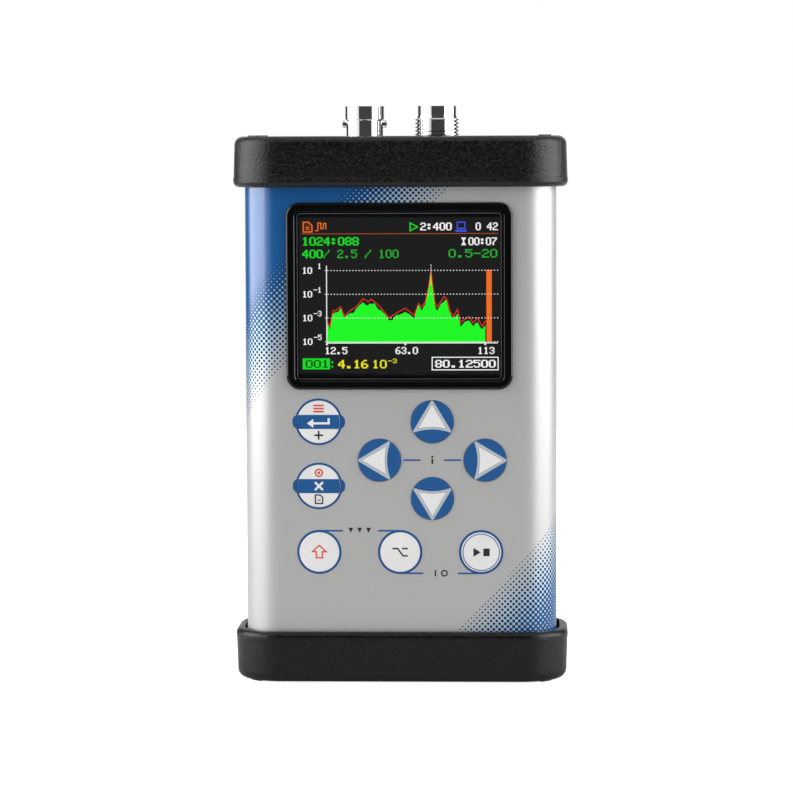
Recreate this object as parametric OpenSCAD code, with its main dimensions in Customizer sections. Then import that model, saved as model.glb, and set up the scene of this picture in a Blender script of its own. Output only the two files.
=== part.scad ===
// Handheld vibration meter.
// An extruded case stands in two soft bumpers. End panels close it, and the upper one carries
// two coax jacks. The display and nine keys come through the front, the battery door is behind.
// X runs to the right, Y to the back and Z up. The origin is under the middle of the base.

/* [Case] */
// Width of the case over the print foil
case_w = 77.2; // [76:0.1:88]
// Depth of the case over the print foil
case_d = 28; // [28:0.5:34]
// Radius of the case's upright corners
case_r = 9; // [8.5:0.25:9.5]
// Height of the meter over its bumpers, from the lower feet
unit_h = 135; // [132:1:150]
// Wall of the extruded case
case_wall = 1.6; // [1.4:0.1:1.8]
// Thickness of the print foil
foil_t = 0.25; // [0.2:0.05:0.3]
// How far round the sides the foil reaches, from the middle of the depth
foil_reach = 4; // [2:0.5:4.5]

/* [Bumpers] */
// Wall that stands proud of the case all round
bumper_t = 2.85; // [2.3:0.05:3]
// Height of each bumper
bumper_h = 12.5; // [11.5:0.5:15]
// Draft from the mouth to the end, on each side
bumper_taper = 0.35; // [0.1:0.05:0.5]
// Rounding of the end's outer edge
end_fillet = 2.1; // [1.5:0.1:2.5]
// Rounding of the mouth's outer edge
lip_fillet = 1.4; // [1:0.1:1.5]
// Height of the bead at the mouth
bead_h = 2.2; // [2:0.1:3]
// How far the bead stands out
bead_t = 0.1; // [0.1:0.05:0.3]
// Gap between the mouth and the case
mouth_gap = 0.8; // [0.5:0.1:0.9]
// Depth of that gap
mouth_depth = 3; // [2:0.5:4]
// Clearance between the pocket and the case
pocket_gap = 0.1; // [0.05:0.05:0.2]
// Height of the corner feet
foot_h = 0.25; // [0.2:0.05:0.4]
// Arc that each corner foot follows
foot_angle = 22; // [18:1:60]

/* [End panels] */
// Depth of an end panel below the end of its bumper
recess = 2.4; // [2:0.1:3]
// Thickness of an end panel
panel_t = 2; // [1.5:0.1:2.5]
// Clearance round an end panel
panel_gap = 0.2; // [0.1:0.05:0.3]
// Width of the bumper wall round an end panel
rim_t = 3.75; // [3.4:0.05:3.9]
// Thickness of the bumper's flange between panel and gasket
flange_t = 1.8; // [1.4:0.1:2]
// Width of the flange under the panel's edge
flange_w = 1.5; // [1.2:0.1:1.8]
// Thickness of a gasket
gasket_t = 0.6; // [0.4:0.1:0.8]

/* [Case screws] */
// Radius of a screw's shank
screw_r = 1.2; // [1:0.05:1.25]
// Radius of a screw's head
screw_head_r = 2.2; // [2:0.1:2.3]
// Height of a screw's head
screw_head_h = 1.3; // [1:0.1:1.5]
// Length of a screw under its head
screw_len = 12; // [10:1:16]
// Radius of a screw channel's wall
boss_r = 2.3; // [2.2:0.05:2.5]
// Distance of a screw from the case's side, at its middle
screw_side = 4.1; // [4:0.1:4.3]
// Distance of a screw from the middle of the depth
screw_y = 6.8; // [6.5:0.1:7]

/* [Display] */
// Width of the bezel
bezel_w = 55.7; // [54:0.1:57]
// Height of the bezel
bezel_h = 46; // [45:0.1:47]
// Corner radius of the bezel
bezel_r = 3.4; // [3.2:0.1:3.8]
// Height of the bezel's middle above the base
bezel_z = 95.75; // [95:0.25:97]
// How far the bezel stands proud of the case
bezel_proud = 0.9; // [0.7:0.1:1.2]
// Thickness of the lens
lens_t = 1; // [0.8:0.1:1.1]
// Width of the display glass
glass_w = 57.6; // [56:0.1:58]
// Height of the display glass
glass_h = 40; // [39:0.1:41]
// Thickness of the display glass
glass_t = 1.5; // [1.2:0.1:1.6]
// Thickness of the steel frame round the glass, front to back
frame_d = 2.4; // [2.2:0.1:2.6]
// Wall of that steel frame
frame_wall = 1.1; // [1:0.05:1.3]
// Thickness of the foam seal before the display
seal_t = 0.3; // [0.2:0.1:0.4]

/* [Keys] */
// Sideways pitch of the keys in the lowest row
key_pitch = 20; // [19.5:0.25:20.5]
// Height of the lowest row above the base
row_z = 32.5; // [31:0.1:33]
// Height of the cancel key
cancel_z = 48.9; // [48:0.1:50]
// Height of the confirm key and the up key
top_key_z = 64.8; // [64:0.1:64.8]
// Sideways place of the arrow keys' middle
arrow_x = 8; // [7.5:0.1:8.5]
// Distance of the left and right keys from that middle
arrow_span_x = 13; // [12.5:0.1:13.5]
// Distance of the up and down keys from that middle
arrow_span_z = 9.5; // [9:0.1:9.5]
// Radius of the arrow, confirm and cancel caps
big_cap_r = 5.25; // [5:0.05:5.4]
// Radius of the caps in the lowest row
small_cap_r = 4.9; // [4.6:0.05:5.2]
// How far a cap stands proud of the foil
cap_proud = 0.35; // [0.3:0.05:0.6]
// Rounding of a cap's edge
cap_fillet = 0.15; // [0.1:0.05:0.2]
// Clearance round a cap
cap_gap = 0.1; // [0.06:0.01:0.15]
// Travel of a key
key_travel = 0.4; // [0.3:0.05:0.4]
// How much wider than its cap a key's flange is
flange_lap = 1; // [0.8:0.1:1.1]
// Thickness of a key's flange
key_flange_t = 0.8; // [0.6:0.1:0.8]
// Radius of a key's stem
stem_r = 1.5; // [1.2:0.1:1.6]
// Width of a push switch
switch_w = 6; // [5.5:0.1:6.2]
// Height of a push switch on its board
switch_h = 3.1; // [3:0.1:3.2]

/* [Boards] */
// Thickness of the main board
board_t = 1.6; // [1.4:0.1:1.7]
// Distance of the main board's rear face from the jacks' axis
board_y = 0.65; // [0.6:0.05:0.8]
// Thickness of the key board
key_board_t = 1.2; // [1:0.1:1.2]
// Thickness of a board rail in the case
rail_t = 1; // [0.9:0.1:1.1]
// Clearance in a board rail
rail_gap = 0.1; // [0.05:0.05:0.15]
// How far a rail stands in from the case wall
rail_w = 1.5; // [1.2:0.1:1.8]

/* [Battery] */
// Diameter of a cell
cell_d = 14.4; // [14:0.1:14.4]
// Length of a cell over its button
cell_len = 50.4; // [49:0.1:50.5]
// Pitch of the cells
cell_pitch = 14.6; // [14.5:0.05:14.6]
// Wall of the battery box
box_wall = 1.2; // [1:0.1:1.2]
// Room for a leaf spring at a cell's flat end
spring_room = 3.1; // [2.6:0.1:3.5]
// Thickness of a contact plate
contact_t = 0.4; // [0.3:0.05:0.5]
// Thickness of the battery door
door_t = 1.6; // [1.4:0.1:1.6]
// Clearance round the battery door
door_gap = 0.25; // [0.2:0.05:0.3]
// Radius of the door's hinge barrel
barrel_r = 1.1; // [1:0.05:1.15]
// Radius of the hinge pin
hinge_pin_r = 0.5; // [0.4:0.05:0.5]

/* [Jacks] */
// Distance of each jack from the middle
jack_x = 9; // [8.5:0.1:9.5]
// Height of a jack's tip above the upper bumper
jack_rise = 7.4; // [7:0.1:9]
// Radius of the bayonet jack's barrel
bayonet_r = 4.85; // [4.8:0.01:4.9]
// Length of the bayonet jack's plain lead
bayonet_lead = 3.3; // [3:0.1:3.4]
// Radius of a bayonet stud
stud_r = 0.95; // [0.9:0.05:1]
// Distance between the outer ends of the studs
stud_span = 11; // [10.8:0.1:11.1]
// Distance of the studs from the jack's tip
stud_drop = 4.4; // [4.3:0.1:4.6]
// Radius of the threaded jack's plain lead
lead_r = 4.78; // [4.7:0.01:4.8]
// Length of that plain lead
lead_len = 2.3; // [2:0.1:2.5]
// Outer radius of the jack's thread
thread_r = 5.5; // [5.4:0.01:5.56]
// Pitch of the jack's thread
thread_pitch = 0.907; // [0.9:0.001:1]
// Radius of the thread behind the panel
tail_r = 4.7; // [4.5:0.05:4.75]

/* [Sockets] */
// Distance of the data socket and of the card slot from the middle
socket_x = 24; // [23.5:0.1:24.5]
// Width of the data socket
usb_w = 7.7; // [7.5:0.1:8]
// Depth of the data socket, front to back
usb_d = 3.9; // [3.7:0.1:4]
// Length of the data socket
usb_len = 9.2; // [9:0.1:10]
// Width of the memory card
card_w = 11; // [10.8:0.1:11.2]
// Length of the memory card
card_len = 15; // [14.5:0.1:15.5]
// Thickness of the memory card
card_t = 1; // [0.9:0.05:1.1]

/* [Hidden] */
$fn = 64;

overrun = 1;
arc_steps = 8;
seat_gap = 0.05;

// The extruded case, inside the foil
body_w = case_w - 2 * foil_t;
body_d = case_d - 2 * foil_t;
body_r = case_r - foil_t;
inner_w = body_w - 2 * case_wall;
inner_d = body_d - 2 * case_wall;
inner_r = body_r - case_wall;
corner_x = case_w / 2 - case_r;
corner_y = case_d / 2 - case_r;
front_out = -case_d / 2;
front_in = -inner_d / 2;
back_out = body_d / 2;
back_in = inner_d / 2;

// The stack at each end, from the bumper's end inwards
panel_in = recess + panel_t;
flange_z = panel_in + flange_t;
case_end = flange_z + gasket_t;
case_z0 = foot_h + case_end;
case_z1 = unit_h - case_end;

// Radii round the corner centres that the case and its bumpers share
mouth_r = case_r + bumper_t;
end_r = mouth_r - bumper_taper;
end_flat_r = end_r - end_fillet;
rim_r = mouth_r - rim_t;
panel_r = rim_r - panel_gap;
flange_r = rim_r - flange_w;
foot_inset = 0.1;

screw_x = case_w / 2 - screw_side;
screw_hole_r = screw_r + seat_gap;

// Jacks, from the tip down
jack_tip = unit_h + jack_rise;
panel_top = unit_h - recess;
panel_under = unit_h - panel_in;
jack_flange_r = 6.6;
jack_flange_t = 1.4;
washer_t = 0.6;
nut_t = 2.2;
nut_af = 12.7;
nut_r = nut_af / 2 / cos(30);
nut_z = panel_under - washer_t - nut_t;
tail_past_nut = 0.8;
tail_z = nut_z - tail_past_nut;
pin_r = board_y - seat_gap;
pin_len = 4.6;
pin_lap = 2.2;
pin_z = tail_z - pin_len;
jack_bore_r = 4.05;
jack_bore_depth = 6;
insulator_r = 3.2;
insulator_drop = 2.2;
contact_r = 1.05;
contact_bore_r = 0.68;
contact_bore_depth = 4.5;
contact_drop = 1.2;
groove_depth = 0.25;
thread_root_share = 0.55;
thread_flank_shares = [0.1, 0.4, 0.6, 0.9];

// Display stack, from the case front inwards
bezel_gap = 0.1;
bezel_round = 0.6;
bezel_slope_w = 0.35;
bezel_inner_w = 3.2;
window_side = 2.85;
lens_side = 2.35;
lens_drop = 0.45;
lens_gap = 0.05;
collar_side = 1.2;
lens_w = bezel_w - 2 * lens_side;
lens_h = bezel_h - 2 * lens_side;
lens_r = bezel_r - lens_side;
collar_w = bezel_w - 2 * collar_side;
collar_h = bezel_h - 2 * collar_side;
collar_r = bezel_r - collar_side;
window_w = bezel_w - 2 * window_side;
window_h = bezel_h - 2 * bezel_inner_w;
lens_y = front_out - bezel_proud + lens_drop;
seal_y1 = front_in + seal_t;
frame_y1 = seal_y1 + frame_d;
frame_w = glass_w + 2 * frame_wall + 2 * seat_gap;
frame_h = glass_h + 2 * frame_wall + 2 * seat_gap;
seal_w = min(frame_w - seal_t, 2 * corner_x);
frame_z0 = bezel_z - frame_h / 2;
carrier_t = 1.2;
carrier_w = frame_w + 2 * carrier_t;
carrier_h = frame_h + 2 * carrier_t;
carrier_y1 = frame_y1 + carrier_t;
leg_r = 2.2;
leg_x = 26;
leg_z = 18.5;
small_screw_r = 0.8;
small_hole_r = small_screw_r + seat_gap;
small_head_r = 1.7;
small_head_h = 1;
small_slot_w = 0.4;
leg_screw_depth = 4;

// Keys, and the push switches behind them
switch_gap = 0.15;
switch_hole_r = stem_r + 2 * seat_gap;
switch_hole_depth = 1.8;
stem_in_switch = 0.55;
flange_y0 = front_in + seat_gap;
flange_y1 = flange_y0 + key_flange_t;
flange_room = flange_y1 + key_travel + seat_gap;
switch_y = flange_y1 + key_travel + switch_gap;
key_board_y0 = switch_y + switch_h;
key_board_y1 = key_board_y0 + key_board_t;
guide_side = 3.25;
guide_edge = 2;
guide_w = 2 * (key_pitch + big_cap_r + flange_lap + guide_side);
guide_z0 = row_z - small_cap_r - flange_lap - guide_edge;
guide_z1 = top_key_z + big_cap_r + flange_lap + guide_edge;
guide_z = (guide_z0 + guide_z1) / 2;
guide_h = guide_z1 - guide_z0;
guide_bore_r = switch_w / sqrt(2) + 3 * seat_gap;
guide_screw_depth = 2.6;

// Sideways place, height and cap radius of each key
KEYS = [
    [-key_pitch, top_key_z, big_cap_r],
    [-key_pitch, cancel_z, big_cap_r],
    [arrow_x, top_key_z, big_cap_r],
    [arrow_x, top_key_z - 2 * arrow_span_z, big_cap_r],
    [arrow_x - arrow_span_x, top_key_z - arrow_span_z, big_cap_r],
    [arrow_x + arrow_span_x, top_key_z - arrow_span_z, big_cap_r],
    [-key_pitch, row_z, small_cap_r],
    [0, row_z, small_cap_r],
    [key_pitch, row_z, small_cap_r]
];

// Battery box, its cells and its door
door_above_bumper = 1.9;
hinge_y = back_out - barrel_r - seat_gap;
hinge_z = foot_h + bumper_h + door_above_bumper + door_gap + barrel_r;
box_below_hinge = 2;
box_in_w = 4 * cell_pitch;
box_out_w = box_in_w + 2 * box_wall;
box_z0 = hinge_z - box_below_hinge;
box_z1 = box_z0 + 2 * contact_t + spring_room + cell_len;
box_z = (box_z0 + box_z1) / 2;
box_h = box_z1 - box_z0;
cell_room = 0.3;
cell_to_door = 0.8;
cell_y = back_in - cell_to_door - cell_d / 2;
box_y0 = cell_y - cell_d / 2 - cell_room;
box_y1 = back_in - seat_gap;
tongue_t = 1.6;
ledge_h = 8;
door_w = box_in_w - 2 * seat_gap;
door_z1 = box_z1 + box_wall + ledge_h;
door_screw_z = door_z1 - ledge_h / 2;
door_screw_r = 1.5;
door_screw_hole_r = door_screw_r + 8 * seat_gap;
door_head_r = 3;
door_head_t = 1;
door_screw_len = 4;
door_slot_w = 0.8;
boss_w = 12;
boss_d = 6;
rib_t = 0.8;
rib_depth = 2;
rib_end = 6;
button_r = 2.75;
button_h = 1.1;
crimp_h = 0.5;
plate_w = 10;
tab_w = 4;
tab_t = 0.4;
tab_rise = 4.4;
leaf_w = 8;
leaf_reach = 4.3;
leaf_fold = 0.8;

// Main board and what stands on it
board_y1 = -board_y;
board_y0 = board_y1 - board_t;
board_w = inner_w - 2 * rail_gap;
board_over_box = 2;
board_z0 = box_z1 + box_wall + board_over_box;
ear_w = 14;
ear_below_panel = 0.5;
notch_z = pin_z + pin_lap;
ear_z = panel_under - ear_below_panel;
tongue_y0 = board_y1 + rail_t + 2 * rail_gap;
shield_w = 32;
shield_h = 20;
shield_d = 5;
shield_t = 0.4;
shield_below_pin = 1.4;
shield_z = pin_z - shield_below_pin - shield_h / 2;
coin_r = 6.25;
coin_t = 2.4;
coin_x = 21;
coin_z = board_z0 + 2 * coin_r;
chip_w = 14;
chip_t = 1.4;
chip_drop = 5.5;
chip_z = bezel_z - chip_drop;
// Place, width, height and thickness of each chip, as shares of the largest one's
chip_shares = [
    [-0.9, 0, 1, 1, 1],
    [0.4, 0, 0.7, 0.6, 0.8],
    [0.4, -0.75, 0.6, 0.35, 0.7],
    [-1, -0.85, 0.45, 0.35, 0.9],
    [2.1, 0.45, 0.35, 0.6, 1],
    [-2.1, 0.55, 0.35, 0.35, 0.7]
];

// Flat cables and the connectors that hold their ends
cable_t = 0.4;
cable_w = 12;
connector_w = cable_w + 2;
connector_h = 3;
connector_t = 1.2;
cable_x = 9;
connector_z = frame_z0 + 2 * carrier_t;
key_connector_z = guide_z1 - 2 * guide_edge;
cable_bend = 1.5;

// Sockets in the upper panel
card_proud = 0.6;
card_z1 = panel_top + card_proud;
card_lift = 0.3;
card_y0 = board_y1 + card_lift;
card_slide_gap = 0.1;
card_notch_w = 1.2;
card_notch_h = 7.5;
card_socket_wall = 1.2;
card_socket_drop = 0.4;
slot_gap = 0.3;
usb_drop = 1;
usb_z1 = panel_top - usb_drop;
usb_wall = 0.3;
usb_tongue_w = 4;

// Points of an arc about a centre
function arc(centre, r, from, to) = [
    for (k = [0 : arc_steps])
        centre + r * [cos(from + (to - from) * k / arc_steps), sin(from + (to - from) * k / arc_steps)]
];

// Outline of a bent strip of thickness t along a list of points
function strip_normal(p, k) =
    let (a = p[max(k - 1, 0)], b = p[min(k + 1, len(p) - 1)], d = (b - a) / norm(b - a))
    [-d[1], d[0]];
function strip_side(p, t) = [for (k = [0 : len(p) - 1]) p[k] + strip_normal(p, k) * t / 2];
function strip(p, t) = concat(
    strip_side(p, t),
    [for (k = [len(p) - 1 : -1 : 0]) strip_side(p, -t)[k]]
);

module round_rect(w, h, r) {
    square([w - 2 * r, h], center = true);
    square([w, h - 2 * r], center = true);
    for (x = [-1, 1], y = [-1, 1])
        translate([x * (w / 2 - r), y * (h / 2 - r)])
            circle(r);
}

// A rounded rectangle about the corner centres of the case
module case_outline(r) {
    round_rect(2 * (corner_x + r), 2 * (corner_y + r), r);
}

// Sweeps a profile of radius and height round four corner centres
module around(half_x, half_y) {
    for (turn = [0 : 3]) {
        half_along = turn % 2 == 0 ? half_x : half_y;
        half_across = turn % 2 == 0 ? half_y : half_x;
        rotate(turn * 90) {
            translate([half_along, half_across, 0])
                rotate_extrude(angle = 90)
                    children();
            translate([half_along, half_across, 0])
                rotate([90, 0, 0])
                    linear_extrude(2 * half_across)
                        children();
        }
    }
}

// Stands a shape drawn in X and Z up between two depths
module slab(y0, y1) {
    translate([0, y1, 0])
        rotate([90, 0, 0])
            linear_extrude(y1 - y0)
                children();
}

module prism(z0, z1) {
    translate([0, 0, z0])
        linear_extrude(z1 - z0)
            children();
}

// A round bar that runs front to back
module bar_y(x, z, r, y0, y1) {
    translate([x, y1, z])
        rotate([90, 0, 0])
            cylinder(r = r, h = y1 - y0);
}

// A round bar that runs up
module bar_z(x, y, r, z0, z1) {
    translate([x, y, z0])
        cylinder(r = r, h = z1 - z0);
}

module at_screws() {
    for (x = [-screw_x, screw_x], y = [-screw_y, screw_y])
        translate([x, y])
            children();
}

module upside_down() {
    translate([0, 0, unit_h])
        mirror([0, 0, 1])
            children();
}

// Case
module rail(y) {
    for (side = [-1, 1])
        translate([side * (inner_w / 2 - rail_w / 2), y + rail_t / 2])
            square([rail_w + case_wall, rail_t], center = true);
}

module case_section() {
    difference() {
        union() {
            difference() {
                round_rect(body_w, body_d, body_r);
                round_rect(inner_w, inner_d, inner_r);
            }
            intersection() {
                round_rect(body_w, body_d, body_r);
                union() {
                    at_screws() circle(boss_r);
                    rail(board_y0 - rail_gap - rail_t);
                    rail(board_y1 + rail_gap);
                    rail(tongue_y0 + tongue_t + rail_gap);
                }
            }
        }
        at_screws() circle(screw_hole_r);
    }
}

module front_holes(gap) {
    slab(front_out - overrun, front_in + overrun)
        translate([0, bezel_z])
            round_rect(collar_w + 2 * bezel_gap, collar_h + 2 * bezel_gap, collar_r + bezel_gap);
    for (key = KEYS)
        bar_y(key[0], key[1], key[2] + gap, front_out - overrun, front_in + overrun);
}

module door_opening() {
    low_z = hinge_z - barrel_r - door_gap;
    slab(back_in - overrun, back_out + overrun)
        translate([-door_w / 2 - door_gap, low_z])
            square([door_w + 2 * door_gap, door_z1 + door_gap - low_z]);
    slab(back_in - overrun, back_out + overrun)
        translate([0, hinge_z])
            square([box_out_w + 2 * door_gap, 2 * (barrel_r + door_gap)], center = true);
}

module housing() color("gainsboro")
    difference() {
        prism(case_z0, case_z1) case_section();
        front_holes(cap_gap);
        door_opening();
    }

module front_overlay() color("lightsteelblue")
    difference() {
        prism(case_z0, case_z1)
            difference() {
                round_rect(case_w, case_d, case_r);
                round_rect(body_w, body_d, body_r);
                translate([-case_w / 2 - overrun, foil_reach])
                    square([case_w + 2 * overrun, case_d]);
            }
        front_holes(cap_gap);
    }

// Bumpers, drawn with the outer end at zero and the mouth upwards
module bumper_profile() {
    bead_z = bumper_h - bead_h;
    bead_blend = 2 * bead_t;
    polygon(concat(
        [[rim_r, 0]],
        arc([end_r - end_fillet, end_fillet], end_fillet, -90, 0),
        [
            [mouth_r - bead_t, bead_z - bead_blend],
            [mouth_r, bead_z]
        ],
        arc([mouth_r - lip_fillet, bumper_h - lip_fillet], lip_fillet, 0, 90),
        [
            [case_r + mouth_gap, bumper_h],
            [case_r + mouth_gap, bumper_h - mouth_depth],
            [case_r + pocket_gap, bumper_h - mouth_depth - mouth_gap],
            [case_r + pocket_gap, flange_z],
            [flange_r, flange_z],
            [flange_r, panel_in],
            [rim_r, panel_in]
        ]
    ));
}

// A low pad along the flat of the end's rim
module corner_foot() {
    rotate(45 - foot_angle / 2)
        rotate_extrude(angle = foot_angle)
            translate([rim_r + foot_inset, -foot_h])
                square([end_flat_r - rim_r - 2 * foot_inset, 2 * foot_h]);
}

module bumper() {
    difference() {
        union() {
            around(corner_x, corner_y) bumper_profile();
            for (x = [0, 1], y = [0, 1])
                mirror([x, 0, 0])
                    mirror([0, y, 0])
                        translate([corner_x, corner_y, 0])
                            corner_foot();
            intersection() {
                prism(panel_in, flange_z) at_screws() circle(boss_r);
                prism(panel_in, flange_z) case_outline(flange_r + flange_w);
            }
        }
        prism(panel_in - overrun, flange_z + overrun) at_screws() circle(screw_hole_r);
    }
}

module gasket_ring() {
    prism(flange_z, case_end)
        difference() {
            union() {
                difference() {
                    round_rect(body_w, body_d, body_r);
                    round_rect(inner_w, inner_d, inner_r);
                }
                intersection() {
                    round_rect(body_w, body_d, body_r);
                    at_screws() circle(boss_r);
                }
            }
            at_screws() circle(screw_hole_r);
        }
}

module case_screws() {
    difference() {
        union() {
            prism(recess - screw_head_h, recess) at_screws() circle(screw_head_r);
            prism(recess, recess + screw_len) at_screws() circle(screw_r);
        }
        prism(recess - screw_head_h - overrun, recess - screw_head_h / 2)
            at_screws() circle(screw_r, $fn = 6);
    }
}

module bottom_bumper() color("#202020")
    translate([0, 0, foot_h]) bumper();

module top_bumper() color("#181818")
    upside_down() bumper();

module bottom_gasket() color("dimgray")
    translate([0, 0, foot_h]) gasket_ring();

module top_gasket() color("dimgray")
    upside_down() gasket_ring();

module bottom_screws() color("silver")
    translate([0, 0, foot_h]) case_screws();

module top_screws() color("silver")
    upside_down() case_screws();

module bottom_panel() color("#303030")
    translate([0, 0, foot_h])
        prism(recess, panel_in)
            difference() {
                case_outline(panel_r);
                at_screws() circle(screw_hole_r);
            }

module top_panel() color("#303030")
    prism(panel_under, panel_top)
        difference() {
            case_outline(panel_r);
            at_screws() circle(screw_hole_r);
            for (x = [-jack_x, jack_x])
                translate([x, 0]) circle(tail_r + seat_gap);
            translate([socket_x, board_y1 + usb_d / 2])
                square([usb_w + 2 * slot_gap, usb_d + 2 * slot_gap], center = true);
            translate([-socket_x, card_y0 + card_t / 2])
                square([card_w + 2 * slot_gap, card_t + 2 * slot_gap], center = true);
        }

// Display
module bezel_profile() {
    lens_edge = lens_r + lens_gap;
    lens_back = bezel_proud - lens_drop - lens_t;
    polygon(concat(
        [[bezel_r, 0]],
        arc([bezel_r - bezel_round, bezel_proud - bezel_round], bezel_round, 0, 90),
        [
            [lens_edge + bezel_slope_w, bezel_proud],
            [lens_edge, bezel_proud - lens_drop + seat_gap],
            [lens_edge, lens_back],
            [bezel_r - bezel_inner_w, lens_back],
            [bezel_r - bezel_inner_w, front_out - front_in],
            [collar_r, front_out - front_in],
            [collar_r, 0]
        ]
    ));
}

module display_bezel() color("#101010")
    difference() {
        translate([0, front_out, bezel_z])
            rotate([90, 0, 0])
                around(bezel_w / 2 - bezel_r, bezel_h / 2 - bezel_r) bezel_profile();
        slab(lens_y + lens_t, front_in + overrun)
            translate([0, bezel_z])
                square([window_w, window_h], center = true);
    }

module display_lens() color("lightcyan", 0.4)
    slab(lens_y, lens_y + lens_t)
        translate([0, bezel_z])
            round_rect(lens_w, lens_h, lens_r);

module display_seal() color("#2a2a2a")
    slab(front_in, seal_y1)
        translate([0, bezel_z])
            difference() {
                square([seal_w, frame_h - seal_t], center = true);
                square([window_w, window_h], center = true);
            }

module display_frame() color("silver")
    difference() {
        slab(seal_y1, frame_y1)
            translate([0, bezel_z])
                square([frame_w, frame_h], center = true);
        slab(seal_y1 - overrun, seal_y1 + glass_t + seat_gap)
            translate([0, bezel_z])
                square([glass_w + 2 * seat_gap, glass_h + 2 * seat_gap], center = true);
    }

module display_glass() color("#1e1e1e")
    slab(seal_y1 + seat_gap, seal_y1 + seat_gap + glass_t)
        translate([0, bezel_z])
            square([glass_w, glass_h], center = true);

module at_legs() {
    for (x = [-leg_x, leg_x], z = [-leg_z, leg_z])
        translate([x, bezel_z + z])
            children();
}

module cable_notch() {
    slab(front_in, carrier_y1 + overrun)
        translate([cable_x, frame_z0])
            square([connector_w, 6 * carrier_t], center = true);
}

module display_carrier() color("#3a3a3a")
    difference() {
        union() {
            slab(seal_y1, carrier_y1)
                translate([0, bezel_z])
                    square([carrier_w, carrier_h], center = true);
            slab(frame_y1, board_y0) at_legs() circle(leg_r);
        }
        slab(seal_y1 - overrun, frame_y1)
            translate([0, bezel_z])
                square([frame_w + 2 * seat_gap, frame_h + 2 * seat_gap], center = true);
        slab(carrier_y1, board_y0 + overrun) at_legs() circle(small_hole_r);
        cable_notch();
    }

// Extrudes a shape drawn in depth and height sideways about a middle
module across(x, w) {
    translate([x - w / 2, 0, 0])
        rotate([90, 0, 90])
            linear_extrude(w)
                children();
}

// A flat cable from the display's lower edge to the main board's front
module display_cable() color("darkorange") {
    front_y = frame_y1 + cable_t / 2;
    rear_y = board_y0 - connector_t - cable_t / 2;
    low_z = frame_z0 - carrier_t;
    across(cable_x, cable_w)
        polygon(strip([
            [front_y, connector_z],
            [front_y, frame_z0],
            [front_y + carrier_t, low_z],
            [rear_y - carrier_t, low_z],
            [rear_y, frame_z0],
            [rear_y, connector_z]
        ], cable_t));
}

// Coax jacks
// Outer shape of a jack below its tip, about its own axis
module jack_shell(x) {
    translate([x, 0, 0])
        difference() {
            union() {
                children();
                bar_z(0, 0, jack_flange_r, panel_top, panel_top + jack_flange_t);
                bar_z(0, 0, tail_r, tail_z, panel_top);
            }
            bar_z(0, 0, jack_bore_r, jack_tip - jack_bore_depth, jack_tip + overrun);
            bar_z(0, 0, insulator_r, tail_z - overrun, jack_tip);
        }
}

module bayonet_shell() color("silver")
    jack_shell(-jack_x) {
        rotate_extrude()
            polygon([
                [0, panel_top],
                [bayonet_r - groove_depth, panel_top],
                [bayonet_r - groove_depth, jack_tip - bayonet_lead - groove_depth],
                [bayonet_r, jack_tip - bayonet_lead],
                [bayonet_r, jack_tip - seat_gap],
                [bayonet_r - seat_gap, jack_tip],
                [0, jack_tip]
            ]);
        translate([-stud_span / 2, 0, jack_tip - stud_drop])
            rotate([0, 90, 0])
                cylinder(r = stud_r, h = stud_span);
    }

function thread_turns(z0, z1) = floor((z1 - z0) / thread_pitch);
function thread_points(z0, z1) = [
    for (k = [0 : thread_turns(z0, z1) - 1], step = [0 : 3])
        [
            step == 1 || step == 2 ? thread_r : thread_r - thread_root_share * thread_pitch,
            z0 + (k + thread_flank_shares[step]) * thread_pitch
        ]
];

module threaded_shell() color("silver")
    jack_shell(jack_x)
        rotate_extrude()
            polygon(concat(
                [[0, panel_top], [lead_r, panel_top]],
                thread_points(panel_top + jack_flange_t, jack_tip - lead_len),
                [
                    [lead_r, jack_tip - lead_len],
                    [lead_r, jack_tip - seat_gap],
                    [lead_r - seat_gap, jack_tip],
                    [0, jack_tip]
                ]
            ));

module insulator(x) {
    difference() {
        bar_z(x, 0, insulator_r, tail_z, jack_tip - insulator_drop);
        bar_z(x, 0, contact_r, tail_z - overrun, jack_tip);
    }
}

module contact(x) {
    difference() {
        union() {
            bar_z(x, 0, contact_r, tail_z, jack_tip - contact_drop);
            bar_z(x, 0, pin_r, pin_z, tail_z);
        }
        bar_z(x, 0, contact_bore_r, jack_tip - contact_drop - contact_bore_depth, jack_tip);
    }
}

module jack_washer(x) {
    difference() {
        bar_z(x, 0, nut_af / 2, panel_under - washer_t, panel_under);
        bar_z(x, 0, tail_r + seat_gap, panel_under - washer_t - overrun, panel_under + overrun);
    }
}

module jack_nut(x) {
    difference() {
        translate([x, 0, nut_z])
            cylinder(r = nut_r, h = nut_t, $fn = 6);
        bar_z(x, 0, tail_r + seat_gap, nut_z - overrun, nut_z + nut_t + overrun);
    }
}

module bayonet_insulator() color("ivory") insulator(-jack_x);
module threaded_insulator() color("ivory") insulator(jack_x);
module bayonet_contact() color("gold") contact(-jack_x);
module threaded_contact() color("gold") contact(jack_x);
module bayonet_washer() color("silver") jack_washer(-jack_x);
module threaded_washer() color("silver") jack_washer(jack_x);
module bayonet_nut() color("silver") jack_nut(-jack_x);
module threaded_nut() color("silver") jack_nut(jack_x);

// Main board
module main_board() color("darkgreen")
    slab(board_y0, board_y1)
        difference() {
            union() {
                translate([-board_w / 2, board_z0])
                    square([board_w, notch_z - board_z0]);
                for (side = [-1, 1])
                    translate([side * socket_x - ear_w / 2, notch_z - overrun])
                        square([ear_w, ear_z - notch_z + overrun]);
            }
            at_legs() circle(small_hole_r);
        }

// A block on the main board's rear face
module on_board(x, z, w, h, t) {
    slab(board_y1, board_y1 + t)
        translate([x, z])
            square([w, h], center = true);
}

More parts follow.
